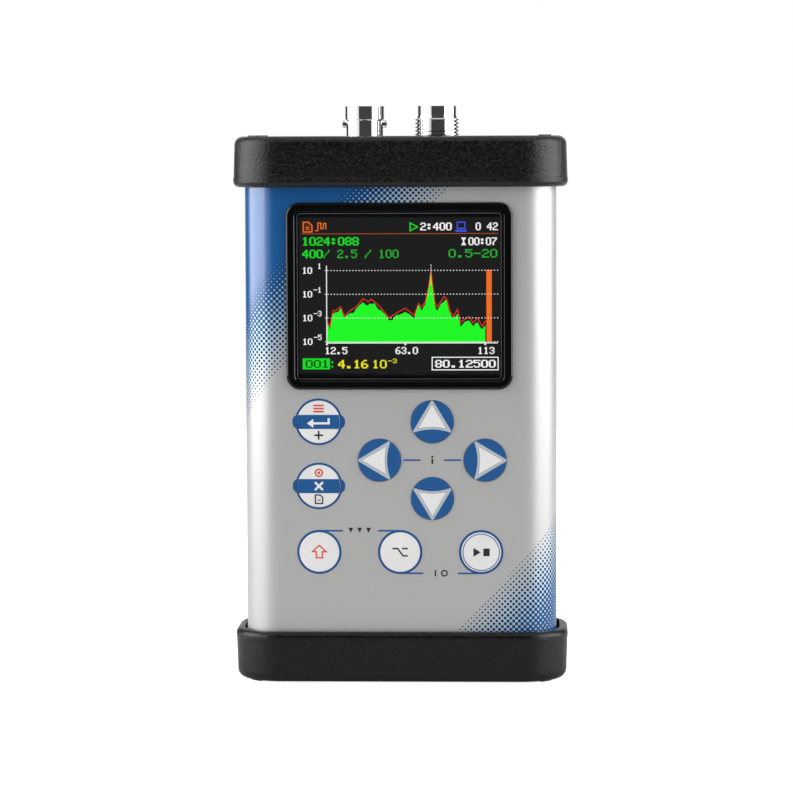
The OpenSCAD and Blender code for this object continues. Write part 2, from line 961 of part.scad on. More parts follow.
module board_chips() color("#282828")
    for (s = chip_shares)
        on_board(s[0] * chip_w, chip_z + s[1] * chip_w, s[2] * chip_w, s[3] * chip_w, s[4] * chip_t);

module backup_cell() color("lightgray")
    bar_y(coin_x, coin_z, coin_r, board_y1, board_y1 + coin_t);

module input_shield() color("silver")
    difference() {
        on_board(0, shield_z, shield_w, shield_h, shield_d);
        slab(board_y1 - overrun, board_y1 + shield_d - shield_t)
            translate([0, shield_z])
                square([shield_w - 2 * shield_t, shield_h - 2 * shield_t], center = true);
    }

module connector(x, z, y) {
    slab(y, y + connector_t)
        translate([x, z])
            square([connector_w, connector_h], center = true);
}

// Two on the main board's front, and one on the key board's rear
module board_connectors() color("beige") {
    connector(cable_x, connector_z, board_y0 - connector_t);
    connector(-cable_x, connector_z, board_y0 - connector_t);
    connector(-cable_x, key_connector_z, key_board_y1);
}

module board_screws() color("silver")
    difference() {
        union() {
            slab(board_y1, board_y1 + small_head_h) at_legs() circle(small_head_r);
            slab(board_y0 - leg_screw_depth, board_y1) at_legs() circle(small_screw_r);
        }
        slab(board_y1 + small_head_h / 2, board_y1 + small_head_h + overrun)
            at_legs() square([2 * small_head_r - small_slot_w, small_slot_w], center = true);
    }

module usb_socket() color("silver")
    translate([socket_x, board_y1 + usb_d / 2, usb_z1 - usb_len]) {
        difference() {
            linear_extrude(usb_len)
                square([usb_w, usb_d], center = true);
            translate([0, 0, usb_wall])
                linear_extrude(usb_len)
                    square([usb_w - 2 * usb_wall, usb_d - 2 * usb_wall], center = true);
        }
        linear_extrude(usb_len - 2 * usb_wall)
            square([usb_tongue_w, 2 * usb_wall], center = true);
    }

module card_socket() color("silver")
    translate([-socket_x, board_y1, 0])
        difference() {
            prism(card_z1 - card_len - card_socket_wall, panel_under - card_socket_drop)
                translate([-card_w / 2 - card_socket_wall, 0])
                    square([card_w + 2 * card_socket_wall, card_t + 2 * card_lift + card_slide_gap]);
            prism(card_z1 - card_len - slot_gap, panel_top)
                translate([-card_w / 2 - card_slide_gap, card_lift - card_slide_gap])
                    square([card_w + 2 * card_slide_gap, card_t + 2 * card_slide_gap]);
        }

module memory_card() color("#202020")
    translate([-socket_x - card_w / 2, card_y0 + card_t, card_z1 - card_len])
        rotate([90, 0, 0])
            linear_extrude(card_t)
                difference() {
                    square([card_w, card_len]);
                    translate([card_w - card_notch_w, -overrun])
                        square([card_notch_w + overrun, card_notch_h + overrun]);
                }

// Keys
module at_guide_screws(y0, y1, r) {
    for (x = [guide_edge - guide_w / 2, guide_w / 2 - guide_edge])
        for (z = [guide_z0 + guide_edge, guide_z1 - guide_edge])
            bar_y(x, z, r, y0, y1);
}

module guide_plate(y0, y1) {
    slab(y0, y1)
        translate([0, guide_z])
            square([guide_w, guide_h], center = true);
}

module key_guide() color("#d8d8d0")
    difference() {
        guide_plate(front_in, key_board_y0);
        for (key = KEYS) {
            bar_y(key[0], key[1], key[2] + flange_lap + 2 * cap_gap, front_in - overrun, flange_room);
            bar_y(key[0], key[1], guide_bore_r, front_in - overrun, key_board_y0 + overrun);
        }
        at_guide_screws(key_board_y0 - guide_screw_depth, key_board_y0 + overrun, small_hole_r);
    }

module key_board() color("darkgreen")
    difference() {
        guide_plate(key_board_y0, key_board_y1);
        at_guide_screws(key_board_y0 - overrun, key_board_y1 + overrun, small_hole_r);
    }

module key_board_screws() color("silver") {
    at_guide_screws(key_board_y0 - guide_screw_depth, key_board_y1, small_screw_r);
    at_guide_screws(key_board_y1, key_board_y1 + small_head_h, small_head_r);
}

module key_switches() color("#383838")
    difference() {
        slab(switch_y, key_board_y0)
            for (key = KEYS)
                translate([key[0], key[1]])
                    square([switch_w, switch_w], center = true);
        for (key = KEYS)
            bar_y(key[0], key[1], switch_hole_r, switch_y - overrun, switch_y + switch_hole_depth);
    }

// A flat cable from the key board's rear to the main board's front
module key_cable() color("darkorange") {
    low_y = key_board_y1 + connector_t + cable_t / 2;
    rear_y = board_y0 - connector_t - cable_t / 2;
    across(-cable_x, cable_w)
        polygon(strip([
            [low_y, key_connector_z - connector_h / 2],
            [low_y, guide_z1 - cable_bend / 2],
            [(low_y + rear_y) / 2, guide_z1 + cable_bend / 2],
            [rear_y, guide_z1 + 2 * cable_bend],
            [rear_y, connector_z]
        ], cable_t));
}

module key(k) {
    x = KEYS[k][0];
    z = KEYS[k][1];
    r = KEYS[k][2];
    cap_y = front_out - cap_proud;
    bar_y(x, z, r + flange_lap, flange_y0, flange_y1);
    bar_y(x, z, stem_r, flange_y1, switch_y + stem_in_switch);
    translate([x, flange_y0, z])
        rotate([90, 0, 0])
            rotate_extrude()
                polygon(concat(
                    [[0, 0], [r, 0]],
                    arc([r - cap_fillet, flange_y0 - cap_y - cap_fillet], cap_fillet, 0, 90),
                    [[0, flange_y0 - cap_y]]
                ));
}

module key_confirm() color("white") key(0);
module key_cancel() color("white") key(1);
module key_up() color("steelblue") key(2);
module key_down() color("steelblue") key(3);
module key_left() color("steelblue") key(4);
module key_right() color("steelblue") key(5);
module key_shift() color("white") key(6);
module key_alt() color("white") key(7);
module key_start() color("white") key(8);

// Battery box, open to the back
function cell_x(k) = (k - 3 / 2) * cell_pitch;

// A round bar that runs sideways along the door's hinge
module hinge_bar(r, w) {
    translate([-w / 2, hinge_y, hinge_z])
        rotate([0, 90, 0])
            cylinder(r = r, h = w);
}

module hinge_room() {
    slab(hinge_y - barrel_r - door_gap, back_out)
        translate([0, hinge_z - barrel_r])
            square([box_in_w, 2 * (barrel_r + door_gap)], center = true);
}

// Ears that hold the ends of the hinge pin
module hinge_ears() {
    for (side = [-1, 1])
        across(side * (box_in_w + box_wall) / 2, box_wall) {
            translate([hinge_y, hinge_z])
                circle(barrel_r);
            translate([hinge_y - 2 * barrel_r, hinge_z - barrel_r])
                square(2 * barrel_r);
        }
}

module battery_box() color("#444444")
    difference() {
        union() {
            difference() {
                union() {
                    slab(box_y0 - box_wall, box_y1)
                        translate([0, box_z])
                            square([box_out_w, box_h + 2 * box_wall], center = true);
                    // Tongues that run in the case's rails
                    slab(tongue_y0, tongue_y0 + tongue_t)
                        translate([0, box_z])
                            square([board_w, box_h - 2 * rib_end], center = true);
                }
                slab(box_y0, back_out)
                    translate([0, box_z])
                        square([box_in_w, box_h], center = true);
            }
            // Boss behind the door's screw
            slab(box_y1 - boss_d, box_y1)
                translate([-boss_w / 2, box_z1])
                    square([boss_w, box_wall + ledge_h]);
            hinge_ears();
            // Low ribs between the cells
            for (k = [0 : 2])
                translate([cell_x(k) + (cell_pitch - rib_t) / 2, box_y0 - seat_gap, box_z0 + rib_end])
                    cube([rib_t, rib_depth, box_h - 2 * rib_end]);
        }
        bar_y(0, door_screw_z, door_screw_hole_r, box_y1 - boss_d - overrun, back_out);
        contact_tabs(seat_gap);
        hinge_room();
        hinge_bar(hinge_pin_r, case_w);
    }

// Tabs that rise from the outer upper plates to the main board
module contact_tabs(gap) {
    for (k = [0, 3])
        translate([cell_x(k) - tab_w / 2 - gap, board_y1 - gap, box_z1 - contact_t])
            cube([tab_w + 2 * gap, tab_t + 2 * gap, box_wall + board_over_box + tab_rise]);
}

module contact_plates() color("silver") {
    for (k = [0 : 3], z = [box_z0, box_z1 - contact_t])
        translate([cell_x(k) - plate_w / 2, board_y1, z])
            cube([plate_w, plate_w, contact_t]);
    contact_tabs(0);
}

// A folded leaf at each cell's flat end, which is up on every second cell
module leaf_springs() color("silver")
    for (k = [0 : 3]) {
        up = k % 2 == 0 ? 1 : -1;
        base = up == 1 ? box_z0 + contact_t : box_z1 - contact_t;
        foot = base + up * tab_t / 2;
        crest = base + up * (spring_room - tab_t / 2 - seat_gap);
        knee = (foot + crest) / 2;
        across(cell_x(k), leaf_w)
            polygon(strip([
                [cell_y - leaf_reach, foot],
                [cell_y + leaf_reach - leaf_fold, foot],
                [cell_y + leaf_reach, (foot + knee) / 2],
                [cell_y + leaf_reach - leaf_fold, knee],
                [cell_y, crest],
                [cell_y - leaf_reach + leaf_fold, knee]
            ], tab_t));
    }

// A cell stands on its flat end, and every second one is turned over
module cell(k) {
    flat_z = box_z0 + contact_t + spring_room;
    edge_r = cell_d / 2;
    shoulder_h = cell_len - button_h;
    translate([0, 0, k % 2 == 0 ? 0 : 2 * box_z])
        mirror([0, 0, k % 2])
            translate([cell_x(k), cell_y, flat_z])
                rotate_extrude()
                    polygon([
                        [0, 0],
                        [edge_r - crimp_h, 0],
                        [edge_r, crimp_h],
                        [edge_r, shoulder_h - crimp_h],
                        [edge_r - crimp_h, shoulder_h],
                        [button_r, shoulder_h],
                        [button_r, cell_len],
                        [0, cell_len]
                    ]);
}

module cell_1() color("darkslategray") cell(0);
module cell_2() color("darkslategray") cell(1);
module cell_3() color("darkslategray") cell(2);
module cell_4() color("darkslategray") cell(3);

module battery_door() color("gainsboro")
    difference() {
        union() {
            slab(back_out - door_t, back_out)
                translate([-door_w / 2, hinge_z])
                    square([door_w, door_z1 - hinge_z]);
            hinge_bar(barrel_r, door_w);
        }
        hinge_bar(hinge_pin_r + seat_gap, case_w);
        bar_y(0, door_screw_z, door_screw_r + 2 * seat_gap, back_in - overrun, back_out + overrun);
        bar_y(0, door_screw_z, door_head_r + 2 * seat_gap, back_out - door_head_t, back_out + overrun);
    }

module hinge_pin() color("silver")
    hinge_bar(hinge_pin_r, box_out_w);

module door_screw() color("silver")
    difference() {
        union() {
            bar_y(0, door_screw_z, door_head_r, back_out - door_head_t, back_out);
            bar_y(0, door_screw_z, door_screw_r, back_in - door_screw_len, back_out - door_head_t);
        }
        slab(back_out - door_head_t / 2, back_out + overrun)
            translate([0, door_screw_z])
                square([2 * door_head_r - door_slot_w, door_slot_w], center = true);
    }

housing();
front_overlay();
top_bumper();
bottom_bumper();
top_gasket();
bottom_gasket();
top_panel();
bottom_panel();
top_screws();
bottom_screws();
display_bezel();
display_lens();
display_seal();
display_frame();
display_glass();
display_carrier();
display_cable();
bayonet_shell();
bayonet_insulator();
bayonet_contact();
bayonet_washer();
bayonet_nut();
threaded_shell();
threaded_insulator();
threaded_contact();
threaded_washer();
threaded_nut();
main_board();
board_chips();
backup_cell();
input_shield();
board_connectors();
board_screws();
usb_socket();
card_socket();
memory_card();
key_guide();
key_board();
key_switches();
key_board_screws();
key_cable();
key_confirm();
key_cancel();
key_up();
key_down();
key_left();
key_right();
key_shift();
key_alt();
key_start();
battery_box();
contact_plates();
leaf_springs();
cell_1();
cell_2();
cell_3();
cell_4();
battery_door();
hinge_pin();
door_screw();
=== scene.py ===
# Looks of a handheld vibration meter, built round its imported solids.
import math
import random

import bmesh
import bpy
from mathutils import Matrix, Vector


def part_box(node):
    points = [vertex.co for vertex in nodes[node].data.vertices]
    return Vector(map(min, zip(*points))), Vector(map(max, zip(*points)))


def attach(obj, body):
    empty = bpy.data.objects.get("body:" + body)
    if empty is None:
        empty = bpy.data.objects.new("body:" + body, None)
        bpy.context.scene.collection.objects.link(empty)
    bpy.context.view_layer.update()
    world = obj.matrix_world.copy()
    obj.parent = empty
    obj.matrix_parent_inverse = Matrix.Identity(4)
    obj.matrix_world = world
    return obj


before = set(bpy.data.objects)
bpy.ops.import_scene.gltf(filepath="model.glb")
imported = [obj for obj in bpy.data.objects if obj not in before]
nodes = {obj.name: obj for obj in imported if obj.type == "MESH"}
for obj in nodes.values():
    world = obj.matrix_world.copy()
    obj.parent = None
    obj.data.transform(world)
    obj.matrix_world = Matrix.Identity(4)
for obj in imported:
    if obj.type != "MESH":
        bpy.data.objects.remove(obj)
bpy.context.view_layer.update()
MM = 0.001


# Places taken from the solids. Lengths in this file are in millimetres, and turns in degrees.
def edges(node):
    """Lowest and highest corner of a solid"""
    low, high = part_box(node)
    return low / MM, high / MM


def middle(low, high):
    return (low.x + high.x) / 2, (low.z + high.z) / 2


case_low, case_high = edges("front_overlay")
lens_low, lens_high = edges("display_lens")
glass_low, glass_high = edges("display_glass")
CASE_FRONT = case_low.y
CASE_RADIUS = 9
FLAT_HALF = case_high.x - CASE_RADIUS
CORNER_Y = CASE_FRONT + CASE_RADIUS


def key_centre(name):
    return middle(*edges("key_" + name))


def add_object(name, data):
    made = bpy.data.objects.new(name, data)
    bpy.context.scene.collection.objects.link(made)
    return made


# Shader maths. The Mix node has its colours in sockets 6 and 7, and mixes them in output 2.
MIX_COLOURS = (6, 7)
MIX_COLOUR_OUT = 2


class Signal:
    """An output of a shader node. Sums and products of signals become Math nodes."""

    def __init__(self, finish, socket):
        self.finish = finish
        self.socket = socket

    def __add__(self, other):
        return self.finish.math("ADD", self, other)

    def __sub__(self, other):
        return self.finish.math("SUBTRACT", self, other)

    def __rsub__(self, other):
        return self.finish.math("SUBTRACT", other, self)

    def __mul__(self, other):
        return self.finish.math("MULTIPLY", self, other)

    def __truediv__(self, other):
        return self.finish.math("DIVIDE", self, other)

    __radd__ = __add__
    __rmul__ = __mul__


class Nodes:
    """A node tree whose nodes are added one by one."""

    def __init__(self, tree):
        self.tree = tree
        self.coordinates = None

    def feed(self, socket, value):
        if isinstance(value, Signal):
            self.tree.links.new(value.socket, socket)
        else:
            socket.default_value = value

    def node(self, kind, settings=None, inputs=None, output=0):
        """Adds a node: its settings first, then values or links for its sockets"""
        made = self.tree.nodes.new(kind)
        for name, value in (settings or {}).items():
            setattr(made, name, value)
        for key, value in (inputs or {}).items():
            self.feed(made.inputs[key], value)
        return Signal(self, made.outputs[output])

    def math(self, operation, *terms, clamp=False):
        settings = {"operation": operation, "use_clamp": clamp}
        return self.node("ShaderNodeMath", settings, dict(enumerate(terms)))

    def place(self):
        """Object coordinates in millimetres, as one vector"""
        if self.coordinates is None:
            metres = self.node("ShaderNodeTexCoord", output="Object")
            scaled = {0: metres, "Scale": 1 / MM}
            self.coordinates = self.node("ShaderNodeVectorMath", {"operation": "SCALE"}, scaled)
        return self.coordinates

    def axes(self, vector=None):
        """The x, y and z of a vector, or of the place"""
        split = self.node("ShaderNodeSeparateXYZ", inputs={0: vector or self.place()})
        outputs = split.socket.node.outputs
        return [Signal(self, outputs[k]) for k in range(3)]

    def noise(self, size, detail=2.0, roughness=0.5, stretch=None):
        """Noise whose features are about that many millimetres across, from 0 to 1"""
        place = self.place()
        if stretch:
            place = self.node("ShaderNodeVectorMath", {"operation": "MULTIPLY"}, {0: place, 1: stretch})
        inputs = {"Vector": place, "Scale": 1 / size, "Detail": detail, "Roughness": roughness}
        return self.node("ShaderNodeTexNoise", inputs=inputs)

    def ramp(self, value, low, high, to_low=0.0, to_high=1.0, curve="LINEAR"):
        """Maps low..high to to_low..to_high, and holds the ends"""
        inputs = {
            "Value": value, "From Min": low, "From Max": high, "To Min": to_low, "To Max": to_high,
        }
        return self.node("ShaderNodeMapRange", {"clamp": True, "interpolation_type": curve}, inputs)

    def mix(self, factor, first, second):
        """From the first colour at 0 to the second at 1"""
        inputs = {0: factor, MIX_COLOURS[0]: first, MIX_COLOURS[1]: second}
        return self.node("ShaderNodeMix", {"data_type": "RGBA"}, inputs, MIX_COLOUR_OUT)

    def bump(self, height, depth, strength=1.0):
        """A normal for relief that many millimetres deep"""
        inputs = {"Height": height, "Distance": depth * MM, "Strength": strength}
        return self.node("ShaderNodeBump", inputs=inputs)


class Finish(Nodes):
    """A material, with its nodes behind one main shader."""

    def __init__(self, name):
        self.material = bpy.data.materials.new(name)
        self.material.use_nodes = True
        super().__init__(self.material.node_tree)
        self.shader = self.tree.nodes["Principled BSDF"]

    def surface(self, **values):
        """Sets the main shader's sockets, named with underscores"""
        for name, value in values.items():
            self.feed(self.shader.inputs[name.replace("_", " ")], value)
        return self.material


def rgb(red, green, blue):
    return (red, green, blue, 1.0)


def grey(level):
    return rgb(level, level, level)


def darker(colour, share):
    return rgb(*(part * share for part in colour))


# Metals


def silver_case():
    """Fine silver anodising: an even grain, with a faint draw along the case"""
    f = Finish("silver_case")
    grain = f.noise(0.12, 3.0, 0.7)
    draw = f.noise(0.5, 2.0, 0.6, stretch=(1.0, 1.0, 0.02))
    cloud = f.noise(30.0, 2.0)
    tone = f.mix(cloud, rgb(0.58, 0.59, 0.60), rgb(0.66, 0.67, 0.68))
    rough = f.ramp(grain + draw * 0.6, 0.4, 1.2, 0.34, 0.46)
    relief = f.bump(grain + draw * 0.5, 0.006, 0.5)
    return f.surface(Base_Color=tone, Metallic=0.85, Roughness=rough, Normal=relief)


def black_anodised():
    """Matt black anodising of the end panels"""
    f = Finish("black_anodised")
    grain = f.noise(0.15, 3.0, 0.7)
    tone = f.mix(grain, rgb(0.012, 0.012, 0.013), rgb(0.03, 0.03, 0.032))
    roughness = f.ramp(grain, 0.2, 0.8, 0.36, 0.52)
    relief = f.bump(grain, 0.01, 0.6)
    return f.surface(Base_Color=tone, Metallic=0.6, Roughness=roughness, Normal=relief)


def turned_steel(name, tone, rough):
    """Steel with the marks of a lathe and a slightly spotted tone"""
    f = Finish(name)
    lathe_marks = f.noise(0.18, 2.0, 0.5, stretch=(0.15, 0.15, 1.0))
    spots = f.noise(2.5, 3.0, 0.6)
    colour = f.mix(spots, rgb(tone * 0.85, tone * 0.85, tone * 0.86), grey(tone))
    roughness = f.ramp(lathe_marks, 0.2, 0.8, rough * 0.8, rough * 1.3)
    relief = f.bump(lathe_marks, 0.004, 0.4)
    return f.surface(Base_Color=colour, Metallic=1.0, Roughness=roughness, Normal=relief)


def bright_chrome():
    """Polished plating, a little uneven along the turned body"""
    f = Finish("bright_chrome")
    marks = f.noise(0.35, 2.0, 0.5, stretch=(0.2, 0.2, 1.0))
    haze = f.noise(1.6, 3.0, 0.6)
    colour = f.mix(haze, rgb(0.78, 0.78, 0.79), rgb(0.9, 0.9, 0.91))
    roughness = f.ramp(haze, 0.3, 0.75, 0.03, 0.08)
    relief = f.bump(marks, 0.003, 0.35)
    return f.surface(Base_Color=colour, Metallic=1.0, Roughness=roughness, Normal=relief)


def contact_gold():
    """Thin gold plating with a faint haze"""
    f = Finish("contact_gold")
    haze = f.noise(0.8, 2.0)
    colour = f.mix(haze, rgb(0.8, 0.55, 0.18), rgb(0.92, 0.68, 0.28))
    return f.surface(Base_Color=colour, Metallic=1.0, Roughness=f.ramp(haze, 0.3, 0.7, 0.16, 0.3))


# Plastics and rubber


def textured_rubber(name, depth, smooth, rough, pale):
    """Spark-textured bumper: fine pits, duller in the hollows"""
    f = Finish(name)
    pits = f.noise(0.76, 3.0, 0.7)
    fine = f.noise(0.35, 2.0, 0.6)
    wear = f.noise(6.0, 3.0, 0.6)
    grain = pits + fine * 0.4
    tone = f.mix(f.ramp(grain, 0.6, 0.85), grey(0.0), grey(pale))
    roughness = f.ramp(grain + wear * 0.3, 0.5, 1.15, smooth, rough)
    relief = f.bump(grain, depth, 0.6)
    return f.surface(Base_Color=tone, Roughness=roughness, Normal=relief, Specular_IOR_Level=0.38)


def soft_gasket():
    """Closed-cell foam, dull all over"""
    f = Finish("soft_gasket")
    grain = f.noise(0.3, 3.0, 0.6)
    tone = f.mix(grain, grey(0.012), grey(0.03))
    roughness = f.ramp(grain, 0.2, 0.8, 0.6, 0.85)
    return f.surface(Base_Color=tone, Roughness=roughness, Normal=f.bump(grain, 0.03))


def moulded(name, colour, rough=0.45, depth=0.008):
    """Moulded plastic with a fine texture and a slightly uneven tone"""
    f = Finish(name)
    grain = f.noise(0.2, 3.0, 0.65)
    cloud = f.noise(8.0, 2.0)
    tone = f.mix(f.ramp(cloud + grain * 0.3, 0.35, 0.95), darker(colour, 0.9), rgb(*colour))
    roughness = f.ramp(grain, 0.25, 0.75, rough * 0.88, rough * 1.12)
    return f.surface(Base_Color=tone, Roughness=roughness, Normal=f.bump(grain, depth, 0.6))


def piano_black():
    """Gloss black bezel with faint moulding waves"""
    f = Finish("piano_black")
    wave = f.noise(9.0, 1.0)
    dust = f.noise(0.25, 3.0, 0.7)
    tone = f.mix(f.ramp(dust, 0.62, 0.8), rgb(0.0015, 0.0015, 0.0016), rgb(0.004, 0.004, 0.0045))
    roughness = f.ramp(dust, 0.5, 0.8, 0.05, 0.1)
    relief = f.bump(wave, 0.02, 0.2)
    return f.surface(Base_Color=tone, Roughness=roughness, Normal=relief, Specular_IOR_Level=0.4)


def clear_lens():
    """Hard clear acrylic: seen through, with a thin gloss that grows at a slant"""
    f = Finish("clear_lens")
    haze = f.noise(7.0, 2.0)
    roughness = f.ramp(haze, 0.3, 0.7, 0.02, 0.05)
    f.surface(Base_Color=rgb(0.95, 0.97, 1.0), Metallic=1.0, Roughness=roughness)
    shine = f.node("ShaderNodeFresnel", inputs={"IOR": 1.3})
    clear = f.node("ShaderNodeBsdfTransparent", inputs={0: grey(1.0)})
    gloss = Signal(f, f.shader.outputs[0])
    both = f.node("ShaderNodeMixShader", inputs={0: shine, 1: clear, 2: gloss})
    f.feed(f.tree.nodes["Material Output"].inputs["Surface"], both)
    return f.material


def display_black():
    """The display's glass where no picture lies over it"""
    f = Finish("display_black")
    haze = f.noise(5.0, 2.0)
    tone = f.mix(haze, rgb(0.002, 0.002, 0.0025), rgb(0.005, 0.005, 0.006))
    return f.surface(Base_Color=tone, Roughness=f.ramp(haze, 0.3, 0.7, 0.12, 0.2))


def circuit_board():
    """Green solder mask over copper tracks"""
    f = Finish("circuit_board")
    across = f.axes()[0]
    half_lane = 0.6
    lanes = f.math("PINGPONG", across + f.noise(4.0, 0.0) * 3.0, half_lane) / half_lane
    track = f.ramp(lanes, 0.55, 0.68)
    tone = f.mix(track, rgb(0.006, 0.07, 0.025), rgb(0.02, 0.16, 0.06))
    return f.surface(Base_Color=tone, Roughness=0.32, Normal=f.bump(track, 0.03), Coat_Weight=0.2)


def cell_sleeve():
    """Printed sleeve of a cell: dark blue body, copper top band, bright metal ends"""
    f = Finish("cell_sleeve")
    low, high = edges("cell_1")
    up = f.ramp(f.axes()[2], low.z, high.z)
    band = f.ramp(up, 0.70, 0.705)
    rim = f.math("ADD", f.ramp(up, 0.03, 0.031, 1.0, 0.0), f.ramp(up, 0.955, 0.956), clamp=True)
    scuff = f.noise(0.8, 4.0, 0.7)
    body = f.mix(band, rgb(0.012, 0.03, 0.10), rgb(0.55, 0.23, 0.08))
    tone = f.mix(rim, body, rgb(0.6, 0.6, 0.61))
    return f.surface(Base_Color=tone, Metallic=0.75, Roughness=f.ramp(scuff, 0.3, 0.7, 0.2, 0.34))


def glow(name, colour):
    """A lit picture element of the display"""
    f = Finish(name)
    return f.surface(
        Base_Color=grey(0.0), Roughness=0.6, Specular_IOR_Level=0.0,
        Emission_Color=rgb(*colour), Emission_Strength=1.0,
    )


def ink(name, colour, rough=0.35):
    """A printed colour with a faint mottle"""
    f = Finish(name)
    tone = f.mix(f.noise(0.5, 2.0), darker(colour, 0.92), rgb(*colour))
    return f.surface(Base_Color=tone, Roughness=rough)


# The printed foil. Its dot screen is a common halftone: dots grow towards two corners,
# from radius DOT_SMALLEST. START, TOUCHING and SOLID are heights at the foil's middle line.
DOT_ROW = 1.4
DOT_SMALLEST = 0.15
DOT_TOUCHING = 0.5
DOT_FULL = DOT_ROW / 2
DOT_SOFTNESS = 0.03
SCREEN_SLOPE = 1.07
SCREEN_FADE = 0.5
UPPER_START = 108.4
UPPER_TOUCHING = 129.0
UPPER_SOLID = 138.0
LOWER_START = -1.5
LOWER_TOUCHING = -21.0
LOWER_SOLID = -50.0
BLUE = (0.001, 0.097, 0.32)
NAVY = (0.001, 0.022, 0.085)


def unrolled(f):
    """Distance round the case from its front's middle line, and height, in millimetres"""
    x, y, z = f.axes()
    out = f.math("ABSOLUTE", x)
    past = f.math("MAXIMUM", out - FLAT_HALF, 0.0)
    before = f.math("MAXIMUM", CORNER_Y - y, 0.0)
    turned = f.math("ARCTAN2", past, before) * CASE_RADIUS
    along = f.math("MINIMUM", out, FLAT_HALF) + turned + f.math("MAXIMUM", y - CORNER_Y, 0.0)
    return f.math("SIGN", x) * along, z


def from_lattice(f, along, up, shift):
    """Squared distance from the nearest of the points that lie a row apart both ways"""
    across = f.math("PINGPONG", along + shift, DOT_ROW / 2)
    rise = f.math("PINGPONG", up + shift, DOT_ROW / 2)
    return across * across + rise * rise


def dot_screen(f):
    """1 where the blue ink lies and 0 on bare silver, and how far the dots have grown"""
    along, up = unrolled(f)
    lean = up - along * SCREEN_SLOPE
    smallest, touching, full = (r * r for r in (DOT_SMALLEST, DOT_TOUCHING, DOT_FULL))
    corners = (
        (UPPER_START, UPPER_TOUCHING, UPPER_SOLID, SCREEN_FADE),
        (LOWER_START, LOWER_TOUCHING, LOWER_SOLID, -SCREEN_FADE),
    )
    squares = []
    fades = []
    for start, meet, solid, fade in corners:
        small = f.ramp(lean, start, meet, smallest, touching)
        squares.append(small + f.ramp(lean, meet, solid, 0.0, full - touching))
        fades.append(f.ramp(lean, start, start + fade))
    shown = f.math("MAXIMUM", *fades)
    square = f.math("MAXIMUM", *squares) * shown
    first = from_lattice(f, along, up, 0.0)
    second = from_lattice(f, along, up, DOT_ROW / 2)
    gap = f.math("SQRT", f.math("MINIMUM", first, second)) - f.math("SQRT", square)
    blue = f.ramp(gap, -DOT_SOFTNESS, DOT_SOFTNESS, 1.0, 0.0) * shown
    return blue, f.ramp(square, smallest, full)


def printed_foil():
    """Silver foil printed with the dot screen, with a clear coat where the blue is full"""
    f = Finish("printed_foil")
    blue, growth = dot_screen(f)
    grain = f.noise(0.14, 2.0, 0.6)
    cloud = f.noise(25.0, 2.0)
    silver = f.mix(cloud, rgb(0.535, 0.533, 0.53), rgb(0.575, 0.573, 0.57))
    tinted = f.mix(f.ramp(growth, 0.0, 0.5), silver, rgb(0.46, 0.69, 0.88))
    printed = f.mix(f.ramp(growth, 0.15, 0.9), rgb(*NAVY), rgb(*BLUE))
    tone = f.mix(blue, tinted, printed)
    roughness = f.ramp(grain, 0.25, 0.75, 0.34, 0.42)
    metallic = f.ramp(blue, 0.0, 1.0, 0.45, 0.12)
    relief = f.bump(grain, 0.004, 0.5)
    coat = blue * f.ramp(growth, 0.3, 1.0) + 0.1
    f.surface(Coat_Weight=coat, Coat_Roughness=0.2, Coat_IOR=1.7, Specular_IOR_Level=0.15)
    return f.surface(Base_Color=tone, Metallic=metallic, Roughness=roughness, Normal=relief)


# Finishes of the solids
KEY_TONE = (0.004, 0.092, 0.30)
SILVER = silver_case()
BLACK_METAL = black_anodised()
STEEL = turned_steel("turned_steel", tone=0.55, rough=0.26)
SPRING_STEEL = turned_steel("spring_steel", tone=0.62, rough=0.2)
CHROME = bright_chrome()
GOLD = contact_gold()
RUBBER = textured_rubber("grained_rubber", depth=0.28, smooth=0.12, rough=0.3, pale=0.013)
SMOOTH_RUBBER = textured_rubber("smooth_rubber", depth=0.15, smooth=0.2, rough=0.38, pale=0.002)
GASKET = soft_gasket()
BEZEL = piano_black()
LENS = clear_lens()
DISPLAY = display_black()
FOIL = printed_foil()
BOARD = circuit_board()
SLEEVE = cell_sleeve()
CARRIER = moulded("carrier_plastic", (0.05, 0.05, 0.055))
FILM = moulded("cable_film", (0.62, 0.27, 0.05), 0.3)
PTFE = moulded("jack_insulator", (0.82, 0.81, 0.78), 0.35)
CHIP = moulded("chip_plastic", (0.02, 0.02, 0.022), 0.5, 0.015)
PALE = moulded("pale_plastic", (0.72, 0.70, 0.62), 0.4)
BOX = moulded("box_plastic", (0.03, 0.03, 0.03), 0.5, 0.02)
CARD = moulded("card_plastic", (0.012, 0.012, 0.013), 0.38)
WHITE_KEY = moulded("white_key", (0.88, 0.87, 0.865), 0.38, 0.003)
BLUE_KEY = moulded("blue_key", KEY_TONE, 0.36, 0.003)

